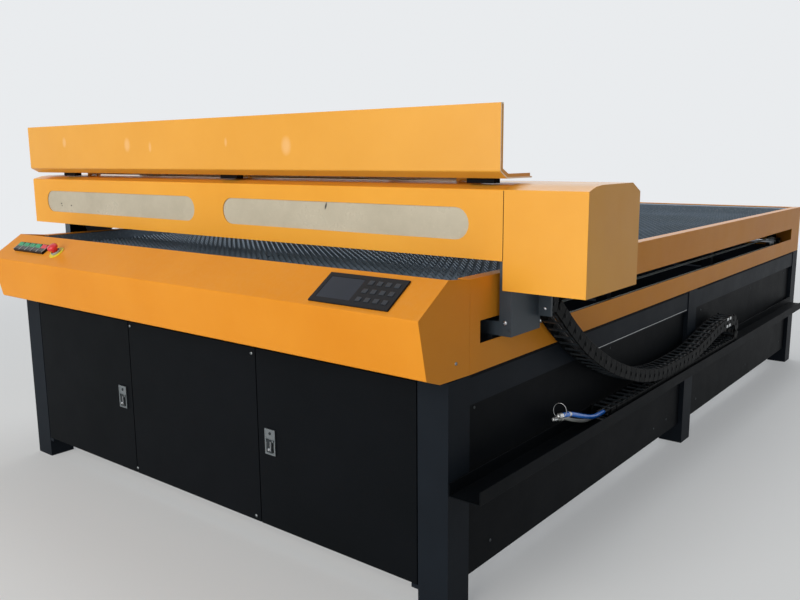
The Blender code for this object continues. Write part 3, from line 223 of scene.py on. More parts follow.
class Finish(NodeBook):
    # one material with its nodes
    def __init__(self, name):
        self.name = name
        self.mat = bpy.data.materials.new(name)
        self.mat.use_nodes = True
        super().__init__(self.mat.node_tree)
        self.shader = self.tree.nodes["Principled BSDF"]
        self.place = self.node("ShaderNodeTexCoord", out="Object")

    def keep(self, slot):
        finishes[self.name] = self.mat

    def stretched(self, scale):
        return self.node("ShaderNodeMapping", None, {"Vector": self.place, "Scale": scale})

    def noise(self, scale, detail, roughness, where=None):
        return self.node("ShaderNodeTexNoise", None, {"Vector": where or self.place, "Scale": scale,
                                                      "Detail": detail, "Roughness": roughness})

    def ramp(self, value, low, high):
        return self.node("ShaderNodeValToRGB", {"stops": [(low, 0.0), (high, 1.0)]}, {"Fac": value})

    def mix(self, share, a, b):
        return self.node("ShaderNodeMix", {"data_type": "RGBA"}, {0: share, 6: a, 7: b}, out=2)

    def patches(self, scale, detail, roughness, low, high):
        return self.ramp(self.noise(scale, detail, roughness), low, high)

    def axis(self, letter, source=None):
        return self.node("ShaderNodeSeparateXYZ", None, {"Vector": source or self.place}, out=letter)

    def facing(self, letter):
        return self.axis(letter, self.node("ShaderNodeNewGeometry", out="Normal"))

    def spot(self, x, z, wide, tall, lean=0.0):
        # soft mark on an upright face: 1 in its middle, 0 at its rim
        up = (self.axis("Z") - z) / tall
        across = (self.axis("X") - x) / wide - up * lean
        return self.ramp(1 - (across * across + up * up), 0.0, 0.9)

    def put(self, socket, value):
        self.feed(self.shader.inputs[socket], value)

    def bump(self, height, strength, distance):
        self.put("Normal", self.node("ShaderNodeBump", None,
                                     {"Height": height, "Strength": strength, "Distance": distance}))


def rgb(code):
    # linear colour of a hex code
    parts = [int(code[i:i + 2], 16) / 255 for i in (0, 2, 4)]
    return tuple(p / 12.92 if p < 0.04045 else ((p + 0.055) / 1.055) ** 2.4 for p in parts)


def rgba(code):
    return (*rgb(code), 1)


finishes = {}

blackCoat = {"dustShare": 0.10, "shine": 0.05, "coat": 0.0, "topGloss": 0.0, "grain": 620, "relief": 0.14,
             "paleSpots": (), "slot": "black_paint"}
orangeCoat = {**blackCoat, "rough": 0.38, "coat": 0.05, "grain": 520, "relief": 0.08, "slot": "orange_paint"}
powderCoats = {
    "orangePaint": {**orangeCoat, "color": "DF912A", "tone": "D98922", "dust": "D8C4A0", "rough": 0.40,
                    "shine": 0.09, "coat": 0.0, "topGloss": 0.55},
    # upperPaint and hoodPaint are the orange of orangePaint coloured lighter: painted light for the stronger
    # light that falls on the gantry and the hood
    "upperPaint": {**orangeCoat, "color": "E9A536", "tone": "E29C2C", "dust": "DCC8A4", "dustShare": 0.12,
                   "shine": 0.24, "topGloss": 0.7},
    # pale spots: x, z, half width, half height
    "hoodPaint": {**orangeCoat, "color": "E3A33C", "tone": "DD9C34", "dust": "DCC8A4", "dustShare": 0.14,
                  "shine": 0.34, "topGloss": 0.3, "paleSpotShare": 0.20, "paleSpotColor": "FFE9C4",
                  "paleSpots": ((-0.564, 1.299, 0.022, 0.030), (-0.416, 1.289, 0.010, 0.022),
                              (0.315, 1.284, 0.026, 0.034), (-1.020, 1.315, 0.016, 0.024),
                              (0.020, 1.300, 0.008, 0.018))},
    "framePaint": {**blackCoat, "color": "14191F", "tone": "191F26", "dust": "30343A", "rough": 0.50,
                   "shine": 0.06},
    "blackPaint": {**blackCoat, "color": "06090C", "tone": "0A0D11", "dust": "2B2E32", "rough": 0.54},
    "carrierPaint": {**blackCoat, "color": "323B43", "tone": "3E4850", "dust": "4A4E54", "dustShare": 0.26,
                     "rough": 0.42, "shine": 0.30},
}


def makePowderCoat(name):
    look = powderCoats[name]
    paint = Finish(name)
    clouds = paint.patches(2.1, 4.0, 0.6, 0.35, 0.68)
    handling = paint.noise(9.0, 5.0, 0.65)
    tone = paint.mix(clouds, rgba(look["color"]), rgba(look["tone"]))
    upward = paint.facing("Z")
    dust = ((paint.ramp(upward, 0.55, 0.98) * 0.75 + 0.10) * paint.patches(60, 6.0, 0.7, 0.42, 0.75)
            * look["dustShare"])
    # soft pale spots mixed into the tone at the listed places
    for paleSpot in look["paleSpots"]:
        tone = paint.mix(paint.spot(*paleSpot) * look["paleSpotShare"], tone, rgba(look["paleSpotColor"]))
    paint.put("Base Color", paint.mix(dust, tone, rgba(look["dust"])))
    paint.put("Roughness", handling * 0.16 + dust * 0.5 + (look["rough"] - 0.08))
    paint.bump(paint.noise(look["grain"], 2.0, 0.5) + handling * 0.3, look["relief"], 0.0006)
    paint.put("Specular IOR Level", look["shine"])
    paint.put("Coat Weight", paint.ramp(upward, 0.94, 0.99) * look["topGloss"] + look["coat"])
    paint.put("Coat Roughness", 0.20)
    paint.keep(look["slot"])


evenGrain = (90, 90, 90)
metals = {
    # stretch: how finely the brushing repeats along x, y and z
    "brightSteel": {"color": "B9BCC0", "stain": "8D9094", "rough": 0.24, "stretch": (6, 120, 120)},
    "railSteel": {"color": "9CA2A6", "stain": "6F767A", "rough": 0.30, "stretch": (160, 4, 160)},
    "aluminium": {"color": "C3C6CA", "stain": "9EA2A7", "rough": 0.36, "stretch": (5, 140, 140),
                  "slot": "aluminium"},
    "screwZinc": {"color": "8F9496", "stain": "6B6F71", "rough": 0.36, "stretch": evenGrain},
    "screwDark": {"color": "4C5052", "stain": "383B3D", "rough": 0.42, "stretch": evenGrain},
    "latchSteel": {"color": "83898C", "stain": "63696C", "rough": 0.40, "stretch": evenGrain},
    "latchDark": {"color": "3E4346", "stain": "2E3234", "rough": 0.42, "stretch": evenGrain},
    "zinc": {"color": "D2D4D4", "stain": "A0A3A3", "rough": 0.28, "stretch": evenGrain},
    "brass": {"color": "C9A24E", "stain": "9C7C3A", "rough": 0.30, "stretch": evenGrain},
}


def makeMetal(name):
    look = metals[name]
    metal = Finish(name)
    brushed = metal.noise(7.0, 6.0, 0.7, metal.stretched(look["stretch"]))
    stain = metal.patches(14, 5.0, 0.6, 0.38, 0.72)
    metal.put("Base Color", metal.mix(stain * 0.6, rgba(look["color"]), rgba(look["stain"])))
    metal.put("Roughness", brushed * 0.22 + stain * 0.12 + (look["rough"] - 0.10))
    metal.put("Metallic", 1.0)
    metal.bump(brushed, 0.12, 0.0004)
    metal.keep(look.get("slot", "steel"))


plastics = {
    "chainPlastic": {"color": "050608", "tone": "090B0C", "rough": 0.50, "shine": 0.06, "relief": 0.10,
                     "grain": 420, "slot": "chain_plastic"},
    "chainBar": {"color": "1F2428", "tone": "2C3237", "rough": 0.40, "shine": 0.3, "relief": 0.10,
                 "grain": 420, "slot": "chain_plastic"},
    # pale belts: lightened to stand in for the band lit from above inside the side slots (painted light)
    "beltRubber": {"color": "D2D6CE", "tone": "BFC4BC", "rough": 0.50, "relief": 0.20, "grain": 300,
                   "slot": "rubber"},
    # black rubber for the pads, fan frame, gland and seam; also the painted shadow strips under the covers
    # and the painted shade in the latch pockets
    "padRubber": {"color": "060607", "tone": "0C0C0D", "rough": 0.80, "shine": 0.10, "relief": 0.20,
                  "grain": 300, "slot": "rubber"},
    "greenKey": {"color": "0E7F50", "tone": "129A62", "rough": 0.30, "relief": 0.04, "grain": 200,
                 "slot": "switch_green"},
    "redKey": {"color": "C8202B", "tone": "DA2A35", "rough": 0.30, "relief": 0.04, "grain": 200,
               "slot": "switch_red"},
    # painted shade: the dark colour of each rocker's lower half
    "rockerShade": {"color": "2A2B22", "tone": "3A3026", "rough": 0.36, "relief": 0.04, "grain": 200,
                    "slot": "switch_green"},
    "yellowPlate": {"color": "D8C416", "tone": "E3D02A", "rough": 0.46, "relief": 0.06, "grain": 260,
                    "slot": "signal_yellow"},
    "greyCollar": {"color": "8E9090", "tone": "A0A2A2", "rough": 0.42, "relief": 0.06, "grain": 260,
                   "slot": "steel"},
    "displayCase": {"color": "0E1014", "tone": "14171C", "rough": 0.40, "shine": 0.14, "relief": 0.08,
                    "grain": 420, "slot": "display_dark"},
    "keyGrey": {"color": "2C3036", "tone": "363B42", "rough": 0.52, "shine": 0.2, "relief": 0.06,
                "grain": 420, "slot": "display_dark"},
    "blackCable": {"color": "101113", "tone": "1B1C1E", "rough": 0.42, "relief": 0.05, "grain": 200,
                   "slot": "rubber"},
    "tubeCore": {"color": "C9BCD0", "tone": "D6CDDC", "rough": 0.25, "relief": 0.03, "grain": 200,
                 "slot": "tube_glass"},
}


def makePlastic(name):
    look = plastics[name]
    plastic = Finish(name)
    mottle = plastic.patches(24, 5.0, 0.65, 0.35, 0.7)
    plastic.put("Base Color", plastic.mix(mottle, rgba(look["color"]), rgba(look["tone"])))
    plastic.put("Roughness", mottle * 0.12 + (look["rough"] - 0.05))
    plastic.put("Specular IOR Level", look.get("shine", 0.5))
    plastic.bump(plastic.noise(look["grain"], 2.0, 0.5), look["relief"], 0.0005)
    plastic.keep(look["slot"])


slatSteel = {"color": "56646F", "scorch": "6B7A89", "cutEdge": "8B949B", "tipsFrom": 0.890, "tipsOver": 0.010}


def makeSlatSteel():
    # dull grey-blue mill scale, brighter where the tooth tips are cut
    look = slatSteel
    steel = Finish("slatSteel")
    scorch = steel.patches(3.0, 5.0, 0.65, 0.3, 0.7)
    tone = steel.mix(scorch, rgba(look["color"]), rgba(look["scorch"]))
    tip = steel.ramp((steel.axis("Z") - look["tipsFrom"]) / look["tipsOver"], 0.0, 1.0)
    nick = steel.patches(90, 3.0, 0.6, 0.5, 0.62)
    steel.put("Base Color", steel.mix(tip * nick * 0.35, tone, rgba(look["cutEdge"])))
    steel.put("Roughness", scorch * 0.14 + 0.46)
    steel.put("Metallic", 0.4)
    steel.bump(steel.noise(240, 3.0, 0.6), 0.12, 0.0004)
    steel.keep("slat_steel")


windowFilm = {
    "color": "BDB5A0", "cloud": "ADA590", "drops": "DCD6BE", "streaks": "9A9580", "mark": "1C1A17",
    # marks: x, z, half width, half height, lean
    "marks": ((-1.131, 1.056, 0.007, 0.004), (-1.128, 1.047, 0.005, 0.003), (-1.052, 1.050, 0.007, 0.004),
              (0.457, 1.097, 0.005, 0.014, 0.9)),
}


def makeWindowFilm():
    # milky beige film behind the cut-outs, specked and smudged
    look = windowFilm
    film = Finish("windowFilm")
    cloud = film.patches(6.0, 5.0, 0.65, 0.35, 0.7)
    drop = film.patches(70, 4.0, 0.7, 0.60, 0.66)
    streak = film.ramp(film.noise(8.0, 4.0, 0.7, film.stretched((3, 3, 22))), 0.60, 0.72)
    tone = film.mix(cloud, rgba(look["color"]), rgba(look["cloud"]))
    tone = film.mix(drop * 0.12, tone, rgba(look["drops"]))
    tone = film.mix(streak * 0.20, tone, rgba(look["streaks"]))
    for mark in look["marks"]:
        tone = film.mix(film.spot(*mark), tone, rgba(look["mark"]))
    film.put("Base Color", tone)
    film.put("Roughness", cloud * 0.2 + drop * 0.2 + 0.24)
    film.bump(film.noise(30, 4.0, 0.6), 0.06, 0.001)
    film.keep("window_beige")


def makeHoseSkin(name):
    look = hoses[name]
    skin = Finish(name + "Skin")
    cloud = skin.noise(40, 4.0, 0.6)
    skin.put("Base Color", skin.mix(skin.ramp(cloud, 0.4, 0.7) * 0.08, rgba(look["color"]), rgba("E8EAEA")))
    skin.put("Roughness", cloud * 0.15 + 0.10)
    skin.put("Transmission Weight", look["clear"])
    skin.put("Coat Weight", 0.4)
    skin.put("Coat Roughness", 0.08)
    skin.keep(look["slot"])
    look["piece"].data.materials.append(skin.mat)


def makeGlass():
    glass = Finish("tubeGlass")
    mist = glass.patches(12, 4.0, 0.6, 0.45, 0.8)
    glass.put("Base Color", glass.mix(mist * 0.3, rgba("EFF6F5"), rgba("CFDAD8")))
    glass.put("Roughness", mist * 0.04 + 0.03)
    glass.put("Alpha", mist * 0.04 + 0.24)
    glass.put("IOR", 1.5)
    glass.keep("tube_glass")


def makeScreen():
    screen = Finish("screenGlass")
    smear = screen.patches(20, 4.0, 0.6, 0.45, 0.75)
    screen.put("Base Color", screen.mix(smear * 0.3, rgba("0B1322"), rgba("1C2636")))
    screen.put("Roughness", smear * 0.14 + 0.08)
    screen.put("Specular IOR Level", 0.2)
    screen.put("Coat Weight", 0.15)
    screen.put("Coat Roughness", 0.05)
    screen.keep("display_dark")


for coat in powderCoats:
    makePowderCoat(coat)
for metal in metals:
    makeMetal(metal)
for plastic in plastics:
    makePlastic(plastic)
makeSlatSteel()
makeWindowFilm()
for name in hoses:
    makeHoseSkin(name)
makeGlass()
makeScreen()
print("finishes made:", len(finishes))


def deselect():
    if bpy.context.mode != "OBJECT":
        bpy.ops.object.mode_set(mode="OBJECT")
    bpy.ops.object.select_all(action="DESELECT")


def pick(*pieces):
    deselect()
    for piece in pieces:
        piece.select_set(True)
    bpy.context.view_layer.objects.active = pieces[0]


def settle(piece):
    # puts the object's place, turn and size into its mesh
    pick(piece)
    bpy.ops.object.transform_apply(location=True, rotation=True, scale=True)
    return piece


def addBox(name, low, high):
    deselect()
    bpy.ops.mesh.primitive_cube_add(size=1, location=[(a + b) / 2 for a, b in zip(low, high)])
    piece = bpy.context.object
    piece.name = name
    piece.scale = [b - a for a, b in zip(low, high)]
    return settle(piece)


def standing(axis):
    # the turn that takes +Z to the axis
    return Vector(axis).to_track_quat("Z", "Y").to_matrix().to_4x4()


def addTurned(name, rings, at=(0, 0, 0), axis=(0, 0, 1), sides=20):
    # a round piece drawn out ring by ring: (distance along the axis, radius)
    deselect()
    height, radius = rings[0]
    bpy.ops.mesh.primitive_circle_add(vertices=sides, radius=radius, fill_type="NGON",
                                      location=(0, 0, height))
    piece = bpy.context.object
    piece.name = name
    settle(piece)
    bpy.ops.object.mode_set(mode="EDIT")
    bpy.ops.mesh.select_all(action="SELECT")
    for nextHeight, nextRadius in rings[1:]:
        bpy.ops.mesh.extrude_region_move(TRANSFORM_OT_translate={"value": (0, 0, nextHeight - height)})
        share = nextRadius / radius
        bpy.ops.transform.resize(value=(share, share, 1), center_override=(0, 0, nextHeight))
        height, radius = nextHeight, nextRadius
    bpy.ops.mesh.select_all(action="SELECT")
    bpy.ops.mesh.normals_make_consistent(inside=False)
    bpy.ops.object.mode_set(mode="OBJECT")
    piece.data.transform(standing(axis))
    piece.data.transform(Matrix.Translation(at))
    return piece


def addPipe(name, points, radius, sides):
    # a round bar that follows the points, its ends closed
    pick(newObject(name, newCurve(name, points, radius, max(1, sides // 4 - 1))))
    bpy.ops.object.convert(target="MESH")
    return bpy.context.object


def bevel(piece, width, segments=2, angle=40):
    pick(piece)
    modifier = piece.modifiers.new("bevel", "BEVEL")
    modifier.width = width
    modifier.segments = segments
    modifier.limit_method = "ANGLE"
    modifier.angle_limit = math.radians(angle)
    bpy.ops.object.modifier_apply(modifier=modifier.name)
    return piece


def carve(piece, tool):
    pick(piece)
    modifier = piece.modifiers.new("cut", "BOOLEAN")
    modifier.operation = "DIFFERENCE"
    modifier.solver = "EXACT"
    modifier.object = tool
    bpy.ops.object.modifier_apply(modifier=modifier.name)
    bpy.data.objects.remove(tool)
    return piece


def join(pieces, name):
    pick(*pieces)
    if len(pieces) > 1:
        bpy.ops.object.join()
    pieces[0].name = name
    return pieces[0]


def copyOf(piece, move=(0, 0, 0), turn=None):
    copy = newObject(piece.name, piece.data.copy())
    if turn is not None:
        copy.data.transform(turn)
    copy.data.transform(Matrix.Translation(move))
    return copy


def pickFaces(piece, test):
    # opens the piece for editing with the faces that pass the test selected
    pick(piece)
    bpy.ops.object.mode_set(mode="EDIT")
    bpy.ops.mesh.select_mode(type="FACE")
    bpy.ops.mesh.select_all(action="DESELECT")
    bpy.ops.object.mode_set(mode="OBJECT")
    for polygon in piece.data.polygons:
        polygon.select = bool(test(polygon.center, polygon.normal))
    bpy.ops.object.mode_set(mode="EDIT")


smoothBelow = math.radians(35)


def giveFinish(piece, look):
    piece.data.materials.clear()
    piece.data.materials.append(finishes[look])


def dressed(piece, look, body, name=None):
    # the last step of each new piece
    piece.name = name or piece.name
    giveFinish(piece, look)
    pick(piece)
    bpy.ops.object.shade_smooth_by_angle(angle=smoothBelow)
    evenShading = piece.modifiers.new("evenShading", "WEIGHTED_NORMAL")
    evenShading.keep_sharp = True
    bpy.ops.object.modifier_apply(modifier=evenShading.name)
    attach(piece, body)
    return piece


# CAD nodes that show: their finish and how far their edges are rounded
skins = {
    "orangePaint": {"edge": 0.0009,
                    "nodes": ["front_console", "side_cover_right", "side_cover_left", "rear_cover"]},
    "upperPaint": {"edge": 0.0009, "nodes": ["gantry_cover", "gantry_end_box"]},
    "hoodPaint": {"edge": 0.0009, "nodes": ["tube_hood"]},
    "framePaint": {"edge": 0.0012, "nodes": ["base_frame", "bed_frame"]},
    "blackPaint": {"edge": 0.0012,
                   "nodes": ["middle_front_panel", "front_door_left", "front_door_right",
                             "side_panel_right_front", "side_panel_right_rear", "side_panel_left_front",
                             "side_panel_left_rear", "rear_panel", "chain_tray", "y_motor"]},
    "carrierPaint": {"edge": 0.0015, "nodes": ["gantry_carrier_right", "gantry_carrier_left"]},
    "latchSteel": {"edge": 0.0005, "nodes": ["latch_plate_left", "latch_plate_right"]},
    "latchDark": {"edge": 0.0005, "nodes": ["latch_paddle_left", "latch_paddle_right"]},
    "brightSteel": {"edge": 0.0005, "nodes": ["x_rail"]},
    "railSteel": {"edge": 0.0006, "nodes": ["linear_rail_right", "linear_rail_left"]},
    "aluminium": {"edge": 0.0008, "nodes": ["gantry_beam", "tube_cradle", "mirror_mount", "head_carriage"]},
    "greenKey": {"edge": 0.0009,
                 "nodes": ["rocker_switch_1", "rocker_switch_2", "rocker_switch_3", "rocker_switch_4"]},
    "redKey": {"edge": 0.0009, "nodes": ["rocker_switch_5"]},
    "displayCase": {"edge": 0.0008, "nodes": ["switch_bank"]},
    "padRubber": {"edge": 0.0015, "nodes": ["hood_pad_left", "hood_pad_middle", "hood_pad_right"]},
}
sheetFolds = {"looks": ("orangePaint", "upperPaint", "hoodPaint"), "radius": 0.0035, "segments": 4,
              "shortest": 0.3, "leastTurn": 8, "mostTurn": 75, "leastArea": 0.01}


def isFold(edge, mesh, faces):
    # a bend of the sheet: runs across the machine between two broad faces
    look = sheetFolds
    a, b = (mesh.vertices[i].co for i in edge.vertices)
    if abs(b.x - a.x) < look["shortest"] or len(faces) != 2:
        return False
    turn = math.degrees(faces[0].normal.angle(faces[1].normal))
    broad = min(face.area for face in faces) > look["leastArea"]
    return broad and look["leastTurn"] < turn < look["mostTurn"]


def roundFolds(piece):
    pick(piece)
    bpy.ops.object.mode_set(mode="EDIT")
    bpy.ops.mesh.select_mode(type="EDGE")
    bpy.ops.mesh.select_all(action="DESELECT")
    bpy.ops.object.mode_set(mode="OBJECT")
    mesh = piece.data
    beside = {}
    for polygon in mesh.polygons:
        for key in polygon.edge_keys:
            beside.setdefault(key, []).append(polygon)
    folds = [edge for edge in mesh.edges if isFold(edge, mesh, beside.get(edge.key, []))]
    for edge in folds:
        edge.select = True
    bpy.ops.object.mode_set(mode="EDIT")
    if folds:
        bpy.ops.mesh.bevel(offset=sheetFolds["radius"], segments=sheetFolds["segments"], affect="EDGES")
    bpy.ops.object.mode_set(mode="OBJECT")


sameSpot = 0.00001  # points nearer than this are one point
flatWithin = math.radians(1)


def skinNode(name, look, edge):
    # a copy of the CAD sheet as one clean shell, its folds and edges rounded
    source = frame["nodes"][name]
    piece = newObject(name + "_skin", source.data.copy())
    pick(piece)
    bpy.ops.object.mode_set(mode="EDIT")
    bpy.ops.mesh.select_all(action="SELECT")
    bpy.ops.mesh.remove_doubles(threshold=sameSpot)
    bpy.ops.mesh.dissolve_limited(angle_limit=flatWithin)
    bpy.ops.object.mode_set(mode="OBJECT")
    if look in sheetFolds["looks"]:
        roundFolds(piece)
    bevel(piece, edge)
    dressed(piece, look, source["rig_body"])
    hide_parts(name)


for look, group in skins.items():
    for name in group["nodes"]:
        skinNode(name, look, group["edge"])
print("CAD sheets rounded and painted")

plainNodes = {
    # CAD nodes that keep their own mesh: a finish only
    "brightSteel": ["hood_hinge_pin", "y_drive_shaft"],
    "aluminium": ["laser_head", "drive_pulley_right", "drive_pulley_left", "idler_pulley_right",
                  "idler_pulley_left"],
    "windowFilm": ["gantry_window_left", "gantry_window_right"],
    "beltRubber": ["y_belt_right", "y_belt_left"],
    "tubeGlass": ["laser_tube"],
    "redKey": ["emergency_stop_button"],
    "yellowPlate": ["emergency_stop_base"],
    "displayCase": ["control_display"],
    "chainPlastic": ["cable_chain"],
    "slatSteel": ["slat_grid"],
}
for look, names in plainNodes.items():
    for name in names:
        giveFinish(frame["nodes"][name], look)
print("other nodes dressed")


slatBed = {"half": 1.035, "low": 0.860, "high": 0.900, "first": 0.090, "pitch": 0.050, "count": 69,
           "thick": 0.004, "toothPitch": 0.030, "toothDepth": 0.011, "bar": 0.006, "barEdge": 0.0006}


def makeSlats():
    # one toothed blade, copied along the bed, and the three bars that carry the blades
    look = slatBed
    half, bar, low, high = (look[k] for k in ("half", "bar", "low", "high"))
    teeth = int(2 * half / look["toothPitch"])
    deselect()
    bpy.ops.mesh.primitive_grid_add(x_subdivisions=2 * teeth, y_subdivisions=1, size=1)
    blade = bpy.context.object
    blade.name = "blade"
    blade.rotation_euler = (math.radians(90), 0, 0)
    blade.scale = (2 * half, high - low, 1)
    blade.location = (0, 0, (low + high) / 2)
    settle(blade)
    step = half / teeth
    bpy.ops.object.mode_set(mode="EDIT")
    bpy.ops.mesh.select_mode(type="VERT")
    bpy.ops.mesh.select_all(action="DESELECT")
    bpy.ops.object.mode_set(mode="OBJECT")
    for vertex in blade.data.vertices:
        column = round((vertex.co.x + half) / step)
        vertex.select = vertex.co.z > (low + high) / 2 and column % 2 == 0
    bpy.ops.object.mode_set(mode="EDIT")
    bpy.ops.transform.translate(value=(0, 0, -look["toothDepth"]))
    bpy.ops.object.mode_set(mode="OBJECT")
    solid = blade.modifiers.new("sheet", "SOLIDIFY")
    solid.thickness = look["thick"]
    solid.offset = 0
    pick(blade)
    bpy.ops.object.modifier_apply(modifier=solid.name)
    front = st(look["first"])
    blades = [copyOf(blade, (0, st(look["first"] + i * look["pitch"]) + look["thick"] / 2, 0))
              for i in range(look["count"])]
    bpy.data.objects.remove(blade)
    back = st(look["first"] + (look["count"] - 1) * look["pitch"]) + look["thick"]
    for x in (-half, -bar / 2, half - bar):
        rib = addBox("rib", (x, front, low), (x + bar, back, high - look["toothDepth"]))
        blades.append(bevel(rib, look["barEdge"], 1))
    slats = join(blades, "slat_bed")
    dressed(slats, "slatSteel", "bench")
    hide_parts("slat_grid")


makeSlats()
print("slats made")

chainRun = {
    "x": 1.1318, "low": 0.3928, "high": 0.4381, "height": 0.045, "width": 0.076, "pitch": 0.045,
    "share": 0.78, "start": 0.3853, "startHeight": 0.834, "bracket": 0.010,
    "fall": ((0.418, 0.826), (0.457, 0.796), (0.540, 0.728), (0.660, 0.645), (0.846, 0.551), (1.079, 0.473)),
    "landing": 1.300, "lift": 1.600, "rise": ((1.763, 0.460), (1.950, 0.493)),
    "bendAt": 2.130, "bend": 0.055, "bendSteps": 12,
    # two (station, height) points on the upper run; blendAlongChain reads them but does not deform the run
    "still": (2.185, 0.44), "carried": (0.39, 0.83),
}


def chainCourse():
    # (station, height) along the chain's middle, from the gantry to its fixed end
    run = chainRun
    crest = run["low"] + 2 * run["bend"]
    course = [(run["start"] + run["bracket"], run["startHeight"]), *run["fall"],
              (run["landing"], run["high"]), (run["lift"], run["high"]), *run["rise"], (run["bendAt"], crest)]
    points = [Vector((run["start"], run["startHeight"]))] + smoothLine(course)
    for i in range(1, run["bendSteps"] + 1):
        a = math.pi / 2 - math.pi * i / run["bendSteps"]
        points.append(Vector((run["bendAt"] + run["bend"] * math.cos(a),
                              run["low"] + run["bend"] + run["bend"] * math.sin(a))))
    points.append(Vector((chainEnd, run["low"])))
    return points


hair = 1e-9  # rounding allowed at the course's end


def placesAlong(points, distances):
    # place and heading at each distance along a course of points
    found = []
    for distance in distances:
        left = distance
        for a, b in zip(points, points[1:]):
            step = (b - a).length
            if left <= step + hair:
                found.append((a + (b - a) * (left / step), math.atan2(b.y - a.y, b.x - a.x)))
                break
            left -= step
    return found


chainLink = {"plate": 0.0065, "gap": 0.0004, "edge": 0.0012, "lugThick": 0.003, "lugHeight": 0.40,
             "lugEdge": 0.004, "overlap": 0.011, "bar": 0.011, "barThick": 0.0045, "barSink": 0.001,
             "pin": 0.007, "pinAt": 0.011, "angle": 60}


def makeLink():
    # one link lying along +Y about the origin: two waisted side plates, two snap-in crossbars, two pins
    run, look = chainRun, chainLink
    half, tall = run["pitch"] / 2, run["height"] / 2
    outer = run["width"] / 2
    inner = outer - look["plate"]
    parts = []
    for s in (-1, 1):
        x0, x1 = sorted((s * outer, s * inner))
        plate = addBox("plate", (x0, -half, -tall), (x1, half - look["gap"], tall))
        bevel(plate, look["edge"], 1, look["angle"])
        x0, x1 = sorted((s * inner, s * (inner - look["lugThick"])))
        lug = addBox("lug", (x0, half - look["overlap"], -run["height"] * look["lugHeight"]),
                     (x1, half + look["overlap"], run["height"] * look["lugHeight"]))
        bevel(lug, look["lugEdge"], 1, look["angle"])
        pin = addTurned("pin", [(0, look["pin"]), (0.0012, look["pin"]), (0.0016, look["pin"] * 0.8)],
                        (s * outer, -half + look["pinAt"], 0), (s, 0, 0), 12)
        parts += [plate, lug, pin]
    for part in parts:
        part.data.materials.append(finishes["chainPlastic"])
    inside = inner + look["barSink"]
    for z in (-tall, tall - look["barThick"]):
        bar = addBox("bar", (-inside, -look["bar"] / 2, z), (inside, look["bar"] / 2, z + look["barThick"]))
        bevel(bar, look["edge"], 1, look["angle"])
        bar.data.materials.append(finishes["chainBar"])
        parts.append(bar)
    return join(parts, "link")


def blendAlongChain(piece):
    x, still, carried = chainRun["x"], chainRun["still"], chainRun["carried"]
    st(still[0])
    st(carried[0])
    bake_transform(piece)


def makeChain(points):
    run = chainRun
    length = sum((b - a).length for a, b in zip(points, points[1:]))
    count = int(length / run["pitch"])
    pitch = length / (count - 1 + run["share"])
    link = makeLink()
    runs = {"upper": [], "lower": []}
    middles = [(k + run["share"] / 2) * pitch for k in range(count)]
    for i, (spot, heading) in enumerate(placesAlong(points, middles)):
        turn = Matrix.Rotation(heading, 4, "X") @ Matrix.Scale(pitch / run["pitch"], 4, (0, 1, 0))
        if i in (0, count - 1):
            turn = turn @ Matrix.Scale(run["share"], 4, (0, 1, 0))
        where = "lower" if abs(heading) > 2 else "upper"
        runs[where].append(copyOf(link, (run["x"], st(spot.x), spot.y), turn))
    bpy.data.objects.remove(link)
    for where, links in runs.items():
        piece = join(links, "chain_%s_run" % where)
        pick(piece)
        bpy.ops.object.shade_smooth_by_angle(angle=smoothBelow)
        if where == "upper":
            blendAlongChain(piece)
        else:
            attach(piece, "bench")
        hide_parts("cable_chain")


# place across the chain, radius
innerLines = {"inner_cable": (-0.016, 0.006), "inner_hose": (0.004, 0.007), "inner_lead": (0.021, 0.004)}
linesPart = 2.18  # station at the bend where they are parted


def makeInnerLines(points):
    # the lines that the chain holds, each parted at the bend, where the still run begins
    split = next(i for i, p in enumerate(points) if p.x > linesPart)
    stretches = (("upper", points[:split + 1], 0, 0.002), ("lower", points[split:], -1, 0.004))
    for name, (shift, radius) in innerLines.items():
        for end, stretch, tip, spare in stretches:
            line = [Vector((chainRun["x"] + shift, st(p.x), p.y)) for p in stretch]
            line[tip].y += spare
            cable = addPipe(name + "_" + end, line, radius, 8)
            giveFinish(cable, "blackCable")
            if end == "upper":
                blendAlongChain(cable)
            else:
                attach(cable, "bench")


chainPoints = chainCourse()
makeChain(chainPoints)
makeInnerLines(chainPoints)
print("drag chain made")


toolOut = 0.01  # how far a cutting tool stands out of the piece


def makeScrew(radius, tall, recess):
    # a domed head about the origin, pointing up +Z
    head = addTurned("head", [(-0.0004, radius), (tall * 0.35, radius), (tall * 0.75, radius * 0.86),
                              (tall, radius * 0.55)], sides=16)
    low, high = tall * 0.4, tall + toolOut
    if recess == "hex":
        return carve(head, addTurned("tool", [(low, radius * 0.42), (high, radius * 0.42)], sides=6))
    long, wide = radius * 0.55, radius * 0.16
    carve(head, addBox("tool", (-long, -wide, low), (long, wide, high)))
    return carve(head, addBox("tool", (-wide, -long, low), (wide, long, high)))


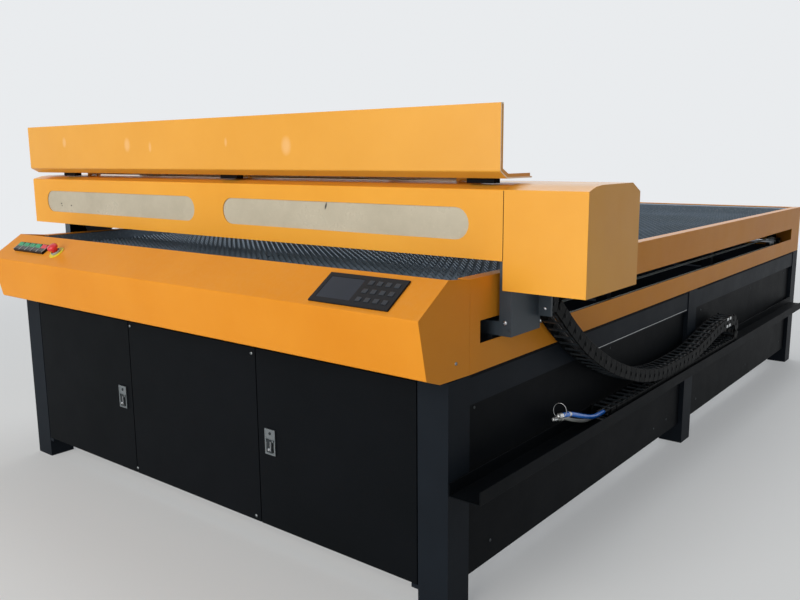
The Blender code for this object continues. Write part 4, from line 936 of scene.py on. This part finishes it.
sideFace = 1.082
panelFace = 1.0633
rearFace = st(3.6333)
gantryBack = st(0.532)
screwSets = {
    "front_panel_screws": {
        "body": "bench", "radius": 0.0055, "tall": 0.0030, "axis": (0, -1, 0), "look": "screwZinc",
        "at": [(0.327, st(0), 0.644), (0.321, st(0), 0.099), (-0.340, st(0), 0.102), (-0.333, st(0), 0.648)]},
    "console_screws_right": {
        "body": "bench", "radius": 0.0050, "tall": 0.0026, "axis": (1, 0, 0), "look": "screwZinc",
        "at": [(sideFace, st(0.033), 0.721)]},
    "console_screws_left": {
        "body": "bench", "radius": 0.0050, "tall": 0.0026, "axis": (-1, 0, 0), "look": "screwZinc",
        "at": [(-sideFace, st(0.033), 0.721)]},
    "panel_screws_right": {
        "body": "bench", "radius": 0.0045, "tall": 0.0024, "axis": (1, 0, 0), "look": "screwDark",
        "at": [(panelFace, st(s), z) for s, z in
               ((0.149, 0.571), (1.029, 0.569), (1.488, 0.141), (1.627, 0.145), (0.240, 0.146),
                (1.990, 0.146), (2.760, 0.146), (3.430, 0.146), (1.990, 0.560), (2.760, 0.560),
                (3.430, 0.560))]},
    "panel_screws_left": {
        "body": "bench", "radius": 0.0045, "tall": 0.0024, "axis": (-1, 0, 0), "look": "screwDark",
        "at": [(-panelFace, st(s), z) for s in (0.24, 1.0, 1.65, 1.99, 2.76, 3.43) for z in (0.146, 0.560)]},
    "rear_panel_screws": {
        "body": "bench", "radius": 0.0050, "tall": 0.0028, "axis": (0, 1, 0), "look": "screwDark",
        "at": [(x, rearFace, z) for x in (-0.955, -0.32, 0.32, 0.955) for z in (0.112, 0.648)]},
    "rear_cover_screws": {
        "body": "bench", "radius": 0.0050, "tall": 0.0026, "axis": (0, 1, 0), "look": "zinc",
        "at": [(x, st(3.650), 0.700) for x in (-1.0, -0.5, 0, 0.5, 1.0)]},
    "end_box_screws": {
        "body": "gantry", "radius": 0.0050, "tall": 0.0026, "axis": (0, 1, 0), "look": "zinc",
        "at": [(x, gantryBack, z) for x in (1.135, 1.325) for z in (0.925, 1.120)]},
    "gantry_rear_screws": {
        "body": "gantry", "radius": 0.0050, "tall": 0.0026, "axis": (0, 1, 0), "look": "zinc",
        "at": [(x, gantryBack, z) for x in (-1.31, -0.66, 0.0, 0.60, 1.07) for z in (0.99, 1.13)]},
    "rail_bolts": {
        "body": "bench", "radius": 0.0052, "tall": 0.0006, "axis": (0, 0, 1), "look": "brightSteel",
        "recess": "hex",
        "at": [(s * 1.030, st(0.16 + 0.08 * k), 0.7283) for s in (-1, 1) for k in range(41)]},
    "carrier_bolts": {
        "body": "gantry", "radius": 0.0065, "tall": 0.0045, "axis": (0, -1, 0), "look": "brightSteel",
        "recess": "hex", "at": [(s * 1.112, st(0.225), z) for s in (-1, 1) for z in (0.800, 1.060)]},
    "bracket_bolts": {
        "body": "gantry", "radius": 0.0055, "tall": 0.0045, "axis": (0, -1, 0), "look": "brightSteel",
        "recess": "hex", "at": [(1.152, st(0.375), z) for z in (0.822, 0.866)]},
    "cradle_bolts": {
        "body": "gantry", "radius": 0.0050, "tall": 0.0040, "axis": (0, 0, 1), "look": "zinc",
        "recess": "hex", "at": [(x + dx, st(0.425), 1.1833) for x in (-0.78, -0.10, 0.58) for dx in (-0.035,
                                                                                                     0.035)]},
}


def makeScrews():
    for name, look in screwSets.items():
        head = makeScrew(look["radius"], look["tall"], look.get("recess", "cross"))
        heads = [copyOf(head, at, standing(look["axis"])) for at in look["at"]]
        bpy.data.objects.remove(head)
        dressed(join(heads, name), look["look"], look["body"])


makeScrews()
print("screws in")


chainFixings = {
    "clipX": 1.1698, "clipStation": 2.056, "clip": (0.0016, 0.021, 0.012), "clipEdge": 0.0006,
    "clips": ((-0.016, 0.521), (0.020, 0.521), (-0.018, 0.490), (0.016, 0.490)),
    "footX": (1.0945, 1.1690), "footFrom": (0.002, 0.034), "footZ": (0.3703, 0.3728), "footEdge": 0.0008,
}


def makeChainFixings():
    # bright clips on the links at the bend, the foot that bolts the fixed end to the tray
    look = chainFixings
    thick, long, tall = look["clip"]
    clips = []
    for shift, z in look["clips"]:
        x, y = look["clipX"], st(look["clipStation"] + shift)
        clip = addBox("clip", (x, y - long / 2, z - tall / 2), (x + thick, y + long / 2, z + tall / 2))
        clips.append(bevel(clip, look["clipEdge"], 1))
    clips = join(clips, "chain_clips")
    giveFinish(clips, "zinc")
    blendAlongChain(clips)
    (x0, x1), (y0, y1), (z0, z1) = look["footX"], look["footFrom"], look["footZ"]
    foot = addBox("chain_foot", (x0, st(chainEnd) + y0, z0), (x1, st(chainEnd) + y1, z1))
    dressed(bevel(foot, look["footEdge"]), "zinc", "bench")


makeChainFixings()


# the sloping console's own flat frame: x across, y up the slope, z out of the sheet
slopeLow = Vector((0, st(-0.128), 0.858))
slopeHigh = Vector((0, st(0), 0.943))
slopeWay = (slopeHigh - slopeLow).normalized()
slopeTurn = Matrix((Vector((1, 0, 0)), slopeWay, Vector((1, 0, 0)).cross(slopeWay))).transposed().to_4x4()
slopeFrame = Matrix.Translation(slopeLow) @ slopeTurn


def onSlope(piece):
    piece.data.transform(slopeFrame)
    return piece


panelUnit = {"x": (0.700, 0.978), "up": (0.016, 0.132), "thick": 0.006, "sink": 0.0003, "edge": 0.0018,
             "margin": 0.016, "screen": (0.716, 0.838), "screenDeep": 0.0016, "screenGap": 0.0006,
             "glassDown": (0.0015, 0.0006), "glassEdge": 0.0003,
             "keys": (0.856, 0.962), "columns": 4, "rows": 3, "keyWide": 0.017, "keyTall": 0.016,
             "keySink": 0.0004, "keyRise": 0.0014, "rowMargin": 0.010, "keyDish": (0.0022, 0.0006),
             "keyEdge": 0.0009}


def makePanelUnit():
    look = panelUnit
    top, gap = look["thick"], look["screenGap"]
    case = addBox("case", (look["x"][0], look["up"][0], look["sink"]), (look["x"][1], look["up"][1], top))
    bevel(case, look["edge"], 3)
    s0, s1 = look["up"][0] + look["margin"], look["up"][1] - look["margin"]
    x0, x1 = look["screen"]
    carve(case, addBox("tool", (x0, s0, top - look["screenDeep"]), (x1, s1, top + toolOut)))
    dressed(onSlope(case), "displayCase", "bench", "display_housing")
    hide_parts("control_display")
    z0, z1 = (top - down for down in look["glassDown"])
    glass = bevel(addBox("glass", (x0 + gap, s0 + gap, z0), (x1 - gap, s1 - gap, z1)), look["glassEdge"], 1)
    dressed(onSlope(glass), "screenGlass", "bench", "display_glass")
    wide, tall = look["keyWide"], look["keyTall"]
    key = addBox("key", (-wide / 2, -tall / 2, top - look["keySink"]),
                 (wide / 2, tall / 2, top + look["keyRise"]))
    pickFaces(key, lambda c, n: n.z > 0.9)
    bpy.ops.mesh.inset(thickness=look["keyDish"][0], depth=look["keyDish"][1])
    bevel(key, look["keyEdge"], 2, 30)
    keys = []
    k0, k1 = look["keys"]
    for i in range(look["columns"]):
        for j in range(look["rows"]):
            x = k0 + wide / 2 + i * (k1 - k0 - wide) / (look["columns"] - 1)
            s = s0 + look["rowMargin"] + j * (s1 - s0 - 2 * look["rowMargin"]) / (look["rows"] - 1)
            keys.append(copyOf(key, (x, s, 0)))
    bpy.data.objects.remove(key)
    dressed(onSlope(join(keys, "display_keys")), "keyGrey", "bench")


makePanelUnit()

switchRow = {"x0": -0.975, "pitch": 0.044, "count": 5, "at": 0.077, "long": 0.044, "top": 0.010,
             "rise": 0.0016, "sink": 0.0004, "half": 0.0024, "endHalf": 0.0016, "edge": 0.0007,
             "shadeBelow": 0.072}


def makeSwitchBezels():
    # pale raised frames between the rockers, and painted shade on the lower half of each rocker
    look = switchRow
    bars = []
    for i in range(look["count"] + 1):
        middle, half = look["x0"] + i * look["pitch"], look["half"]
        if i in (0, look["count"]):
            half = look["endHalf"]
            middle += half if i == 0 else -half
        bar = addBox("bar", (middle - half, look["at"] - look["long"] / 2, look["top"] - look["sink"]),
                     (middle + half, look["at"] + look["long"] / 2, look["top"] + look["rise"]))
        bars.append(bevel(bar, look["edge"]))
    dressed(onSlope(join(bars, "switch_bezels")), "greyCollar", "bench")
    back = slopeFrame.inverted()
    for i in range(look["count"]):
        piece = bpy.data.objects["rocker_switch_%d_skin" % (i + 1)]
        piece.data.materials.append(finishes["rockerShade"])
        for polygon in piece.data.polygons:
            if (back @ polygon.center).y < look["shadeBelow"]:
                polygon.material_index = 1


makeSwitchBezels()

stopButton = {
    "x": -0.680, "at": 0.072,
    # rings: (height above the slope, radius)
    "collar": [(0.003, 0.0185), (0.009, 0.0185), (0.0105, 0.0165), (0.0105, 0.0165), (0.003, 0.0163)],
    "cap": [(0.010, 0.0119), (0.0205, 0.0119), (0.0215, 0.0185), (0.0235, 0.0200), (0.0295, 0.0200),
            (0.0330, 0.0186), (0.0358, 0.0150), (0.0372, 0.0100), (0.0378, 0.0060), (0.0372, 0.0055),
            (0.0372, 0.0040)],
    "plate": [(0.0003, 0.030), (0.0022, 0.030), (0.0030, 0.029), (0.0030, 0.0190), (0.0032, 0.0180),
              (0.0032, 0.0163)],
}


def makeStopButton():
    look = stopButton
    place = (look["x"], look["at"], 0)
    collar = addTurned("stop_collar", look["collar"], place, sides=32)
    dressed(onSlope(collar), "greyCollar", "bench")
    cap = addTurned("stop_cap", look["cap"], place, sides=40)
    dressed(onSlope(cap), "redKey", "estop")
    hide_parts("emergency_stop_button")
    plate = addTurned("stop_plate", look["plate"], place, sides=48)
    dressed(onSlope(plate), "yellowPlate", "bench")
    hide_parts("emergency_stop_base")


makeStopButton()
print("console controls made")


latchSet = {
    # pairs with Y: how far the piece stands out of the face and how far it goes in
    "from": 0.345, "gap": 0.035, "width": 0.046, "low": 0.327, "height": 0.084, "door": -0.0003,
    "thick": 0.0036, "rim": 0.005, "rimY": (0.0010, 0.0004), "rimEdge": 0.0005,
    "paddle": 0.026, "pocketGap": 0.003, "pocketY": (0.0004, 0.0006), "pocketZ": (0.008, 0.050),
    "pocketEdge": 0.0002,
    "ridgeX": (0.0045, 0.0075), "ridgeY": (0.0022, 0.0003), "ridgeFoot": 0.006, "ridgeTop": 0.004,
    "ridgeEdge": 0.0009,
    "knobAt": (-0.0015, 0.010), "lockDown": 0.014,
    # rings: (distance out of the face, radius)
    "knob": [(-0.0003, 0.0050), (0.0022, 0.0050), (0.0034, 0.0040), (0.0038, 0.0020)],
    "lock": [(-0.0004, 0.0050), (0.0010, 0.0050), (0.0014, 0.0044), (0.0014, 0.0036), (0.0006, 0.0032),
             (0.0006, 0.0008)],
}


def makeLatchRim(side, middle, face):
    # raised rim of the latch plate: a box opened front and back, its walls joined
    look = latchSet
    half = look["width"] / 2
    out, back = look["rimY"]
    rim = addBox("latch_rim_" + side, (middle - half, face - out, look["low"]),
                 (middle + half, face + back, look["low"] + look["height"]))
    for way in (-1, 1):
        pickFaces(rim, lambda c, n: way * n.y > 0.9)
        bpy.ops.mesh.inset(thickness=look["rim"], depth=0)
        bpy.ops.mesh.delete(type="FACE")
    bpy.ops.mesh.select_mode(type="EDGE")
    bpy.ops.mesh.select_all(action="DESELECT")
    bpy.ops.mesh.select_non_manifold()
    bpy.ops.mesh.bridge_edge_loops()
    bpy.ops.mesh.select_all(action="SELECT")
    bpy.ops.mesh.normals_make_consistent(inside=False)
    dressed(bevel(rim, look["rimEdge"]), "latchSteel", "door_" + side)


def makeLatchDetail(side, s):
    # rim, painted shade in the pocket behind the paddle, the paddle's ridge and knob, the keyhole
    look = latchSet
    middle = s * (look["from"] + look["gap"] + look["width"] / 2)
    face = st(look["door"]) - look["thick"]
    makeLatchRim(side, middle, face)
    # a thin dark box in the pocket: painted shade of the recess behind the paddle
    half = look["paddle"] / 2 + look["pocketGap"]
    out, back = look["pocketY"]
    z0, z1 = (look["low"] + z for z in look["pocketZ"])
    pocket = addBox("latch_pocket_" + side, (middle - half, face - out, z0), (middle + half, face + back, z1))
    dressed(bevel(pocket, look["pocketEdge"], 1), "padRubber", "door_" + side)
    paddle = frame["nodes"]["latch_paddle_" + side]
    front = min(vertex.co.y for vertex in paddle.data.vertices)
    heights = [vertex.co.z for vertex in paddle.data.vertices]
    foot, top = min(heights), max(heights)
    x0, x1 = (middle + x for x in look["ridgeX"])
    out, back = look["ridgeY"]
    ridge = addBox("ridge", (x0, front - out, foot + look["ridgeFoot"]),
                   (x1, front + back, top - look["ridgeTop"]))
    bevel(ridge, look["ridgeEdge"])
    knobX, knobUp = look["knobAt"]
    knob = addTurned("knob", look["knob"], (middle + knobX, front, foot + knobUp), (0, -1, 0))
    dressed(join([ridge, knob], "latch_ridge_" + side), "brightSteel", paddle["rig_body"])
    high = look["low"] + look["height"] - look["lockDown"]
    lock = addTurned("latch_lock_" + side, look["lock"], (middle, face, high), (0, -1, 0))
    dressed(lock, "latchDark", "door_" + side)


for side, s in (("left", -1), ("right", 1)):
    makeLatchDetail(side, s)
print("latches made")


tubeSet = {
    "x0": -0.950, "x1": 0.750, "y": st(0.448), "z": 1.255,
    "jacket": 0.024, "jacketFrom": 0.080, "neck": 0.012, "neckLong": 0.005, "core": 0.011, "coreFrom": 0.060,
    "coil": 0.031, "coilWire": 0.0028, "coilFrom": 0.11, "coilLong": 0.30, "coilTurns": 16, "coilSteps": 20,
    "nipplesFrom": 0.045,
    # rings: (distance along the piece's own axis, radius)
    "electrode": [(-0.058, 0.0165), (-0.020, 0.0165), (-0.018, 0.0150), (-0.018, 0.0120), (-0.056, 0.0118)],
    "mirror": [(0.0003, 0.026), (0.005, 0.026), (0.0055, 0.022), (0.011, 0.022), (0.012, 0.017),
               (0.016, 0.017), (0.0165, 0.007), (0.010, 0.006)],
    "nipple": [(0.038, 0.0055), (0.046, 0.0055), (0.048, 0.0068), (0.052, 0.0068), (0.054, 0.0052),
               (0.060, 0.0048), (0.060, 0.0030)],
}


def turnedPair(name, rings, spots, sides, look):
    # the same turned piece at both spots on the tube
    dressed(join([addTurned(name, rings, at, axis, sides) for at, axis in spots], name), look, "gantry")


def makeTubeInside():
    # water jacket, discharge bore, gas return coil, electrodes and end mirrors inside the glass
    look = tubeSet
    x0, x1, y, z = look["x0"], look["x1"], look["y"], look["z"]
    start, long = (x0, y, z), x1 - x0
    near, wide, neck = look["jacketFrom"], look["jacket"], look["neck"]
    jacket = addTurned("tube_jacket", [(near - look["neckLong"], neck), (near, wide), (long - near, wide),
                                       (long - near + look["neckLong"], neck)], start, (1, 0, 0), 28)
    dressed(jacket, "tubeGlass", "gantry")
    core = addTurned("tube_core", [(look["coreFrom"], look["core"]), (long - look["coreFrom"], look["core"])],
                     start, (1, 0, 0))
    dressed(bevel(core, 0.001), "tubeCore", "gantry")
    steps = look["coilTurns"] * look["coilSteps"]
    coil = []
    for i in range(steps + 1):
        a = 2 * math.pi * i / look["coilSteps"]
        coil.append((x0 + look["coilFrom"] + look["coilLong"] * i / steps,
                     y + math.cos(a) * look["coil"], z + math.sin(a) * look["coil"]))
    dressed(addPipe("tube_coil", coil, look["coilWire"], 8), "tubeGlass", "gantry")
    ends = [((x0, y, z), (-1, 0, 0)), ((x1, y, z), (1, 0, 0))]
    turnedPair("tube_electrodes", look["electrode"], ends, 24, "brightSteel")
    turnedPair("tube_end_mirrors", look["mirror"], ends, 28, "brass")
    stubs = [((x, y, z), (0, 0, 1)) for x in (x0 + look["nipplesFrom"], x1 - look["nipplesFrom"])]
    turnedPair("tube_nipples", look["nipple"], stubs, 16, "tubeGlass")


makeTubeInside()
print("laser tube made")


louvreSet = {"long": 0.150, "tall": 0.010, "deep": 0.006, "lip": (0.93, 0.35), "edge": 0.0012, "sink": 0.0005,
             "x": (-0.72, 0.72), "low": 0.30, "pitch": 0.022, "rows": 9}


def makeLouvres():
    # pressed air slots at both ends of the rear panel
    look = louvreSet
    long, tall, deep = look["long"] / 2, look["tall"] / 2, look["deep"]
    slat = addBox("louvre", (-long, 0, -tall), (long, deep, tall))
    pickFaces(slat, lambda c, n: n.y > 0.9)
    bpy.ops.transform.resize(value=(look["lip"][0], 1, look["lip"][1]), center_override=(0, deep, tall))
    bevel(slat, look["edge"], 2, 25)
    louvres = [copyOf(slat, (x, rearFace - look["sink"], look["low"] + k * look["pitch"]))
               for x in look["x"] for k in range(look["rows"])]
    bpy.data.objects.remove(slat)
    dressed(join(louvres, "rear_louvres"), "blackPaint", "bench")


fanSet = {"at": (-0.18, rearFace, 0.40), "radius": 0.062, "rings": 4, "ringSteps": 32, "ringOut": 0.0045,
          "ringWire": 0.0009, "spokes": 4, "spokeOut": 0.0030, "spokeWire": 0.0012,
          "frame": [(-0.0004, 0.070), (0.0020, 0.070), (0.0028, 0.067), (0.0028, 0.064), (0.0006, 0.062),
                    (0.0006, 0.020)]}


def makeFanGrille():
    look = fanSet
    x, y, z = look["at"]
    wires = []
    for k in range(look["rings"]):
        r = look["radius"] * (k + 1) / look["rings"]
        loop = [(x + r * math.cos(a), y + look["ringOut"], z + r * math.sin(a))
                for a in (2 * math.pi * i / look["ringSteps"] for i in range(look["ringSteps"] + 1))]
        wires.append(addPipe("ring", loop, look["ringWire"], 8))
    for k in range(look["spokes"]):
        a = math.pi * k / look["spokes"] + math.pi / 8
        dx, dz = look["radius"] * math.cos(a), look["radius"] * math.sin(a)
        ends = [(x + s * dx, y + look["spokeOut"], z + s * dz) for s in (-1, 1)]
        wires.append(addPipe("spoke", ends, look["spokeWire"], 8))
    dressed(join(wires, "fan_grille"), "railSteel", "bench")
    dressed(addTurned("fan_frame", look["frame"], look["at"], (0, 1, 0), 40), "padRubber", "bench")


inletGland = {"at": (0.180, rearFace, 0.40),
              "rings": [(-0.0004, 0.017), (0.0040, 0.017), (0.0045, 0.0145), (0.0080, 0.0145),
                        (0.0135, 0.0125), (0.0145, 0.0100), (0.0145, 0.0070), (0.0060, 0.0065)]}


def makeInlet():
    # gland for the supply cord, which the photo doesn't show
    gland = addTurned("inlet_gland", inletGland["rings"], inletGland["at"], (0, 1, 0), 24)
    dressed(gland, "padRubber", "bench")


makeLouvres()
makeFanGrille()
makeInlet()
print("rear details made")


trims = {
    # thin strips along the machine: looks, bodies and pairs of corners
    # painted shadow: thin black strips under the lower edges of the orange side covers
    "cover_seals": {"look": "padRubber", "body": "bench", "edge": 0.0003, "boxes": [
        ((s * 1.0789, st(0.030), 0.6665), (s * 1.0805, st(3.640), 0.6757)) for s in (-1, 1)]},
    # painted highlight: thin pale zinc strips along the lower edges of the side beams
    "beam_edges": {"look": "zinc", "body": "bench", "edge": 0.0002, "boxes": [
        ((s * 1.0786, st(0.856), 0.5955), (s * 1.0793, st(1.767), 0.5970)) for s in (-1, 1)]},
    "bed_edges": {"look": "slatSteel", "body": "bench", "edge": 0.0006, "boxes": [
        *(((s * 1.0375, st(0.098), 0.8605), (s * 1.0405, st(3.606), 0.9285)) for s in (-1, 1)),
        *(((s * 1.0405, st(0.098), 0.9255), (s * 1.0780, st(3.606), 0.9285)) for s in (-1, 1)),
        ((-1.0370, st(3.5050), 0.8605), (1.0370, st(3.5080), 0.9285)),
        ((-1.0370, st(3.5080), 0.9255), (1.0370, st(3.6060), 0.9285))]},
    "end_box_seam": {"look": "padRubber", "body": "gantry", "edge": 0.0002, "boxes": [
        ((1.1070, st(0.2125), 0.9706), (1.1090, st(0.2133), 1.1580))]},
    "hood_hem": {"look": "hoodPaint", "body": "hood", "edge": 0.0008, "boxes": [
        ((-1.315, st(0.1922), 1.3700), (1.112, st(0.1950), 1.3838))]},
}


def makeTrims():
    for name, look in trims.items():
        strips = []
        for a, b in look["boxes"]:
            corners = [sorted(pair) for pair in zip(a, b)]
            strips.append(bevel(addBox("strip", *zip(*corners)), look["edge"], 1))
        dressed(join(strips, name), look["look"], look["body"])


combSet = {"x": 1.1250, "half": 0.0055, "first": 0.232, "pitch": 0.034, "count": 5, "reach": 0.010,
           "z": (0.768, 0.7832), "taper": 0.45, "edge": 0.0012}


def makeCombs():
    # row of small dark lugs along the foot of each carrier, seen against the orange cover
    look = combSet
    foot, top = look["z"]
    lugs = []
    for x in (-look["x"], look["x"]):
        for k in range(look["count"]):
            y = st(look["first"] + k * look["pitch"])
            lug = addBox("lug", (x - look["half"], y - look["reach"], foot),
                         (x + look["half"], y + look["reach"], top))
            pickFaces(lug, lambda c, n: n.z < -0.9)
            bpy.ops.transform.resize(value=(1, look["taper"], 1), center_override=(x, y, foot))
            lugs.append(bevel(lug, look["edge"], 2, 25))
    dressed(join(lugs, "carrier_lugs"), "carrierPaint", "gantry")


# colours of the painted highlight on the hood's thin end faces, with random paler and darker patches
hoodEndHighlight = {"color": "FFF0D8", "mottle": "F4E0BE", "largest": 0.002}


def paintHoodEndHighlight(piece):
    # painted highlight: the hood sheet's thin end faces are coloured near white so they show as bright lines
    look = hoodEndHighlight
    edge = Finish(piece.name + "Edge")
    mottle = edge.patches(40, 4.0, 0.6, 0.4, 0.7)
    edge.put("Base Color", edge.mix(mottle, rgba(look["color"]), rgba(look["mottle"])))
    edge.put("Roughness", mottle * 0.1 + 0.3)
    piece.data.materials.append(edge.mat)
    for polygon in piece.data.polygons:
        if abs(polygon.normal.x) > 0.9 and polygon.area < look["largest"]:
            polygon.material_index = len(piece.data.materials) - 1


makeTrims()
makeCombs()
paintHoodEndHighlight(bpy.data.objects["tube_hood_skin"])
print("trims made")


hoseEnds = {"clampWidth": 0.010, "ringWire": 0.0008, "ring": (0.020, 0.024),
            "ringShift": (-0.004, 0.004, 0.014), "ringAcross": (0.97, 0.24, 0), "ringSteps": 24}


def makeFitting(name, hose):
    # bright push-in fitting at the hose's end and a clamp a little before it
    line, r, half = hose["line"], hose["radius"], hoseEnds["clampWidth"] / 2
    nut = addTurned(name + "_fitting",
                    [(-0.007, r + 0.0004), (-0.007, r + 0.0012), (0.001, r + 0.0012), (0.002, r + 0.0002),
                     (0.004, r + 0.0002), (0.005, r + 0.0014), (0.009, r + 0.0012), (0.011, r - 0.0010),
                     (0.011, r * 0.55), (0.006, r * 0.5)],
                    line[-1], (line[-1] - line[-2]).normalized(), 18)
    band = addTurned(name + "_clamp", [(-half, r + 0.0002), (-half, r + 0.0010), (half, r + 0.0010),
                                       (half, r + 0.0002)], line[-6], (line[-5] - line[-7]).normalized(), 24)
    return [dressed(nut, "zinc", "bench"), dressed(band, "zinc", "bench")]


def makeRing(hose):
    # the loop of wire that holds the two hose ends together
    look = hoseEnds
    eye = hose["line"][-1] + Vector(look["ringShift"])
    across, up = look["ring"]
    sideways, upward = Vector(look["ringAcross"]), Vector((0, 0, up))
    loop = []
    for i in range(look["ringSteps"] + 1):
        a = 2 * math.pi * i / look["ringSteps"]
        loop.append(eye + sideways * math.cos(a) * across + upward * math.sin(a))
    return dressed(addPipe("hose_wire", loop, look["ringWire"], 8), "zinc", "bench")


def makeHoseEnds():
    extras = {name: makeFitting(name, hose) for name, hose in hoses.items()}
    extras["blue_hose"].append(makeRing(hoses["blue_hose"]))
    for name, hose in hoses.items():
        line = hose["line"]
        length = sum((b - a).length for a, b in zip(line, line[1:]))
        2 * hose["radius"]


makeHoseEnds()
print("hose ends made")


backdrop = {"color": (0.86, 0.88, 0.90, 1), "strength": 0.95, "skyColor": (0.78, 0.83, 0.90, 1),
            "skyStrength": 0.24, "floor": "DCDCD9", "floorShare": 0.30, "fadeFrom": 2.5, "fadeOver": 6.5}


def makeStage():
    # grey floor that fades into the pale backdrop
    look = backdrop
    deselect()
    bpy.ops.mesh.primitive_plane_add(size=60, location=(0, 0, -0.001))
    floor = bpy.context.object
    floor.name = "floor"
    settle(floor)
    matt = Finish("floorPaint")
    matt.put("Base Color", rgba(look["floor"]))
    matt.put("Roughness", 0.7)
    x, y = matt.axis("X"), matt.axis("Y")
    away = matt.node("ShaderNodeMath", {"operation": "SQRT"}, {0: x * x + y * y})
    far = matt.ramp((away - look["fadeFrom"]) / look["fadeOver"], 0.0, 1.0)
    pale = matt.node("ShaderNodeEmission", None, {"Color": look["color"], "Strength": look["strength"]})
    share = matt.seenRays("ADD") * (far * (1 - look["floorShare"]) + look["floorShare"])
    blend = matt.node("ShaderNodeMixShader", None, {0: share, 1: Wire(matt, matt.shader.outputs[0]), 2: pale})
    matt.feed(matt.tree.nodes["Material Output"].inputs["Surface"], blend)
    floor.data.materials.append(matt.mat)


def makeWorld():
    # pale backdrop for the camera and for reflections, a weaker grey for the light itself
    look = backdrop
    world = bpy.data.worlds.new("studio")
    bpy.context.scene.world = world
    world.use_nodes = True
    book = NodeBook(world.node_tree)
    back = book.tree.nodes["Background"]
    book.feed(back.inputs["Color"], look["skyColor"])
    book.feed(back.inputs["Strength"], look["skyStrength"])
    pale = book.node("ShaderNodeBackground", None, {"Color": look["color"], "Strength": look["strength"]})
    blend = book.node("ShaderNodeMixShader", None,
                      {0: book.seenRays("MAXIMUM"), 1: Wire(book, back.outputs[0]), 2: pale})
    book.feed(book.tree.nodes["World Output"].inputs["Surface"], blend)


lamps = {
    "keyLamp": {"at": (0.2, -8.4, 2.6), "aim": (0, -1.2, 0.9), "size": 7.0, "power": 585,
                "color": (1, 0.97, 0.93)},
    "topLamp": {"at": (-0.8, 2.0, 6.0), "aim": (0, 0.5, 0.8), "size": 5.0, "power": 190,
                "color": (0.93, 0.96, 1)},
    "sideLamp": {"at": (7.5, 3.0, 3.0), "aim": (1, 0, 0.6), "size": 4.0, "power": 6, "color": (0.9, 0.94, 1)},
}


def makeLamps():
    for name, look in lamps.items():
        light = bpy.data.lights.new(name, "AREA")
        light.size = look["size"]
        light.energy = look["power"]
        light.color = look["color"]
        lamp = newObject(name, light)
        lamp.location = look["at"]
        lamp.rotation_euler = (Vector(look["aim"]) - Vector(look["at"])).to_track_quat("-Z", "Y").to_euler()


makeStage()
makeWorld()
makeLamps()
bpy.context.scene.view_settings.view_transform = "Standard"
print("stage lit")
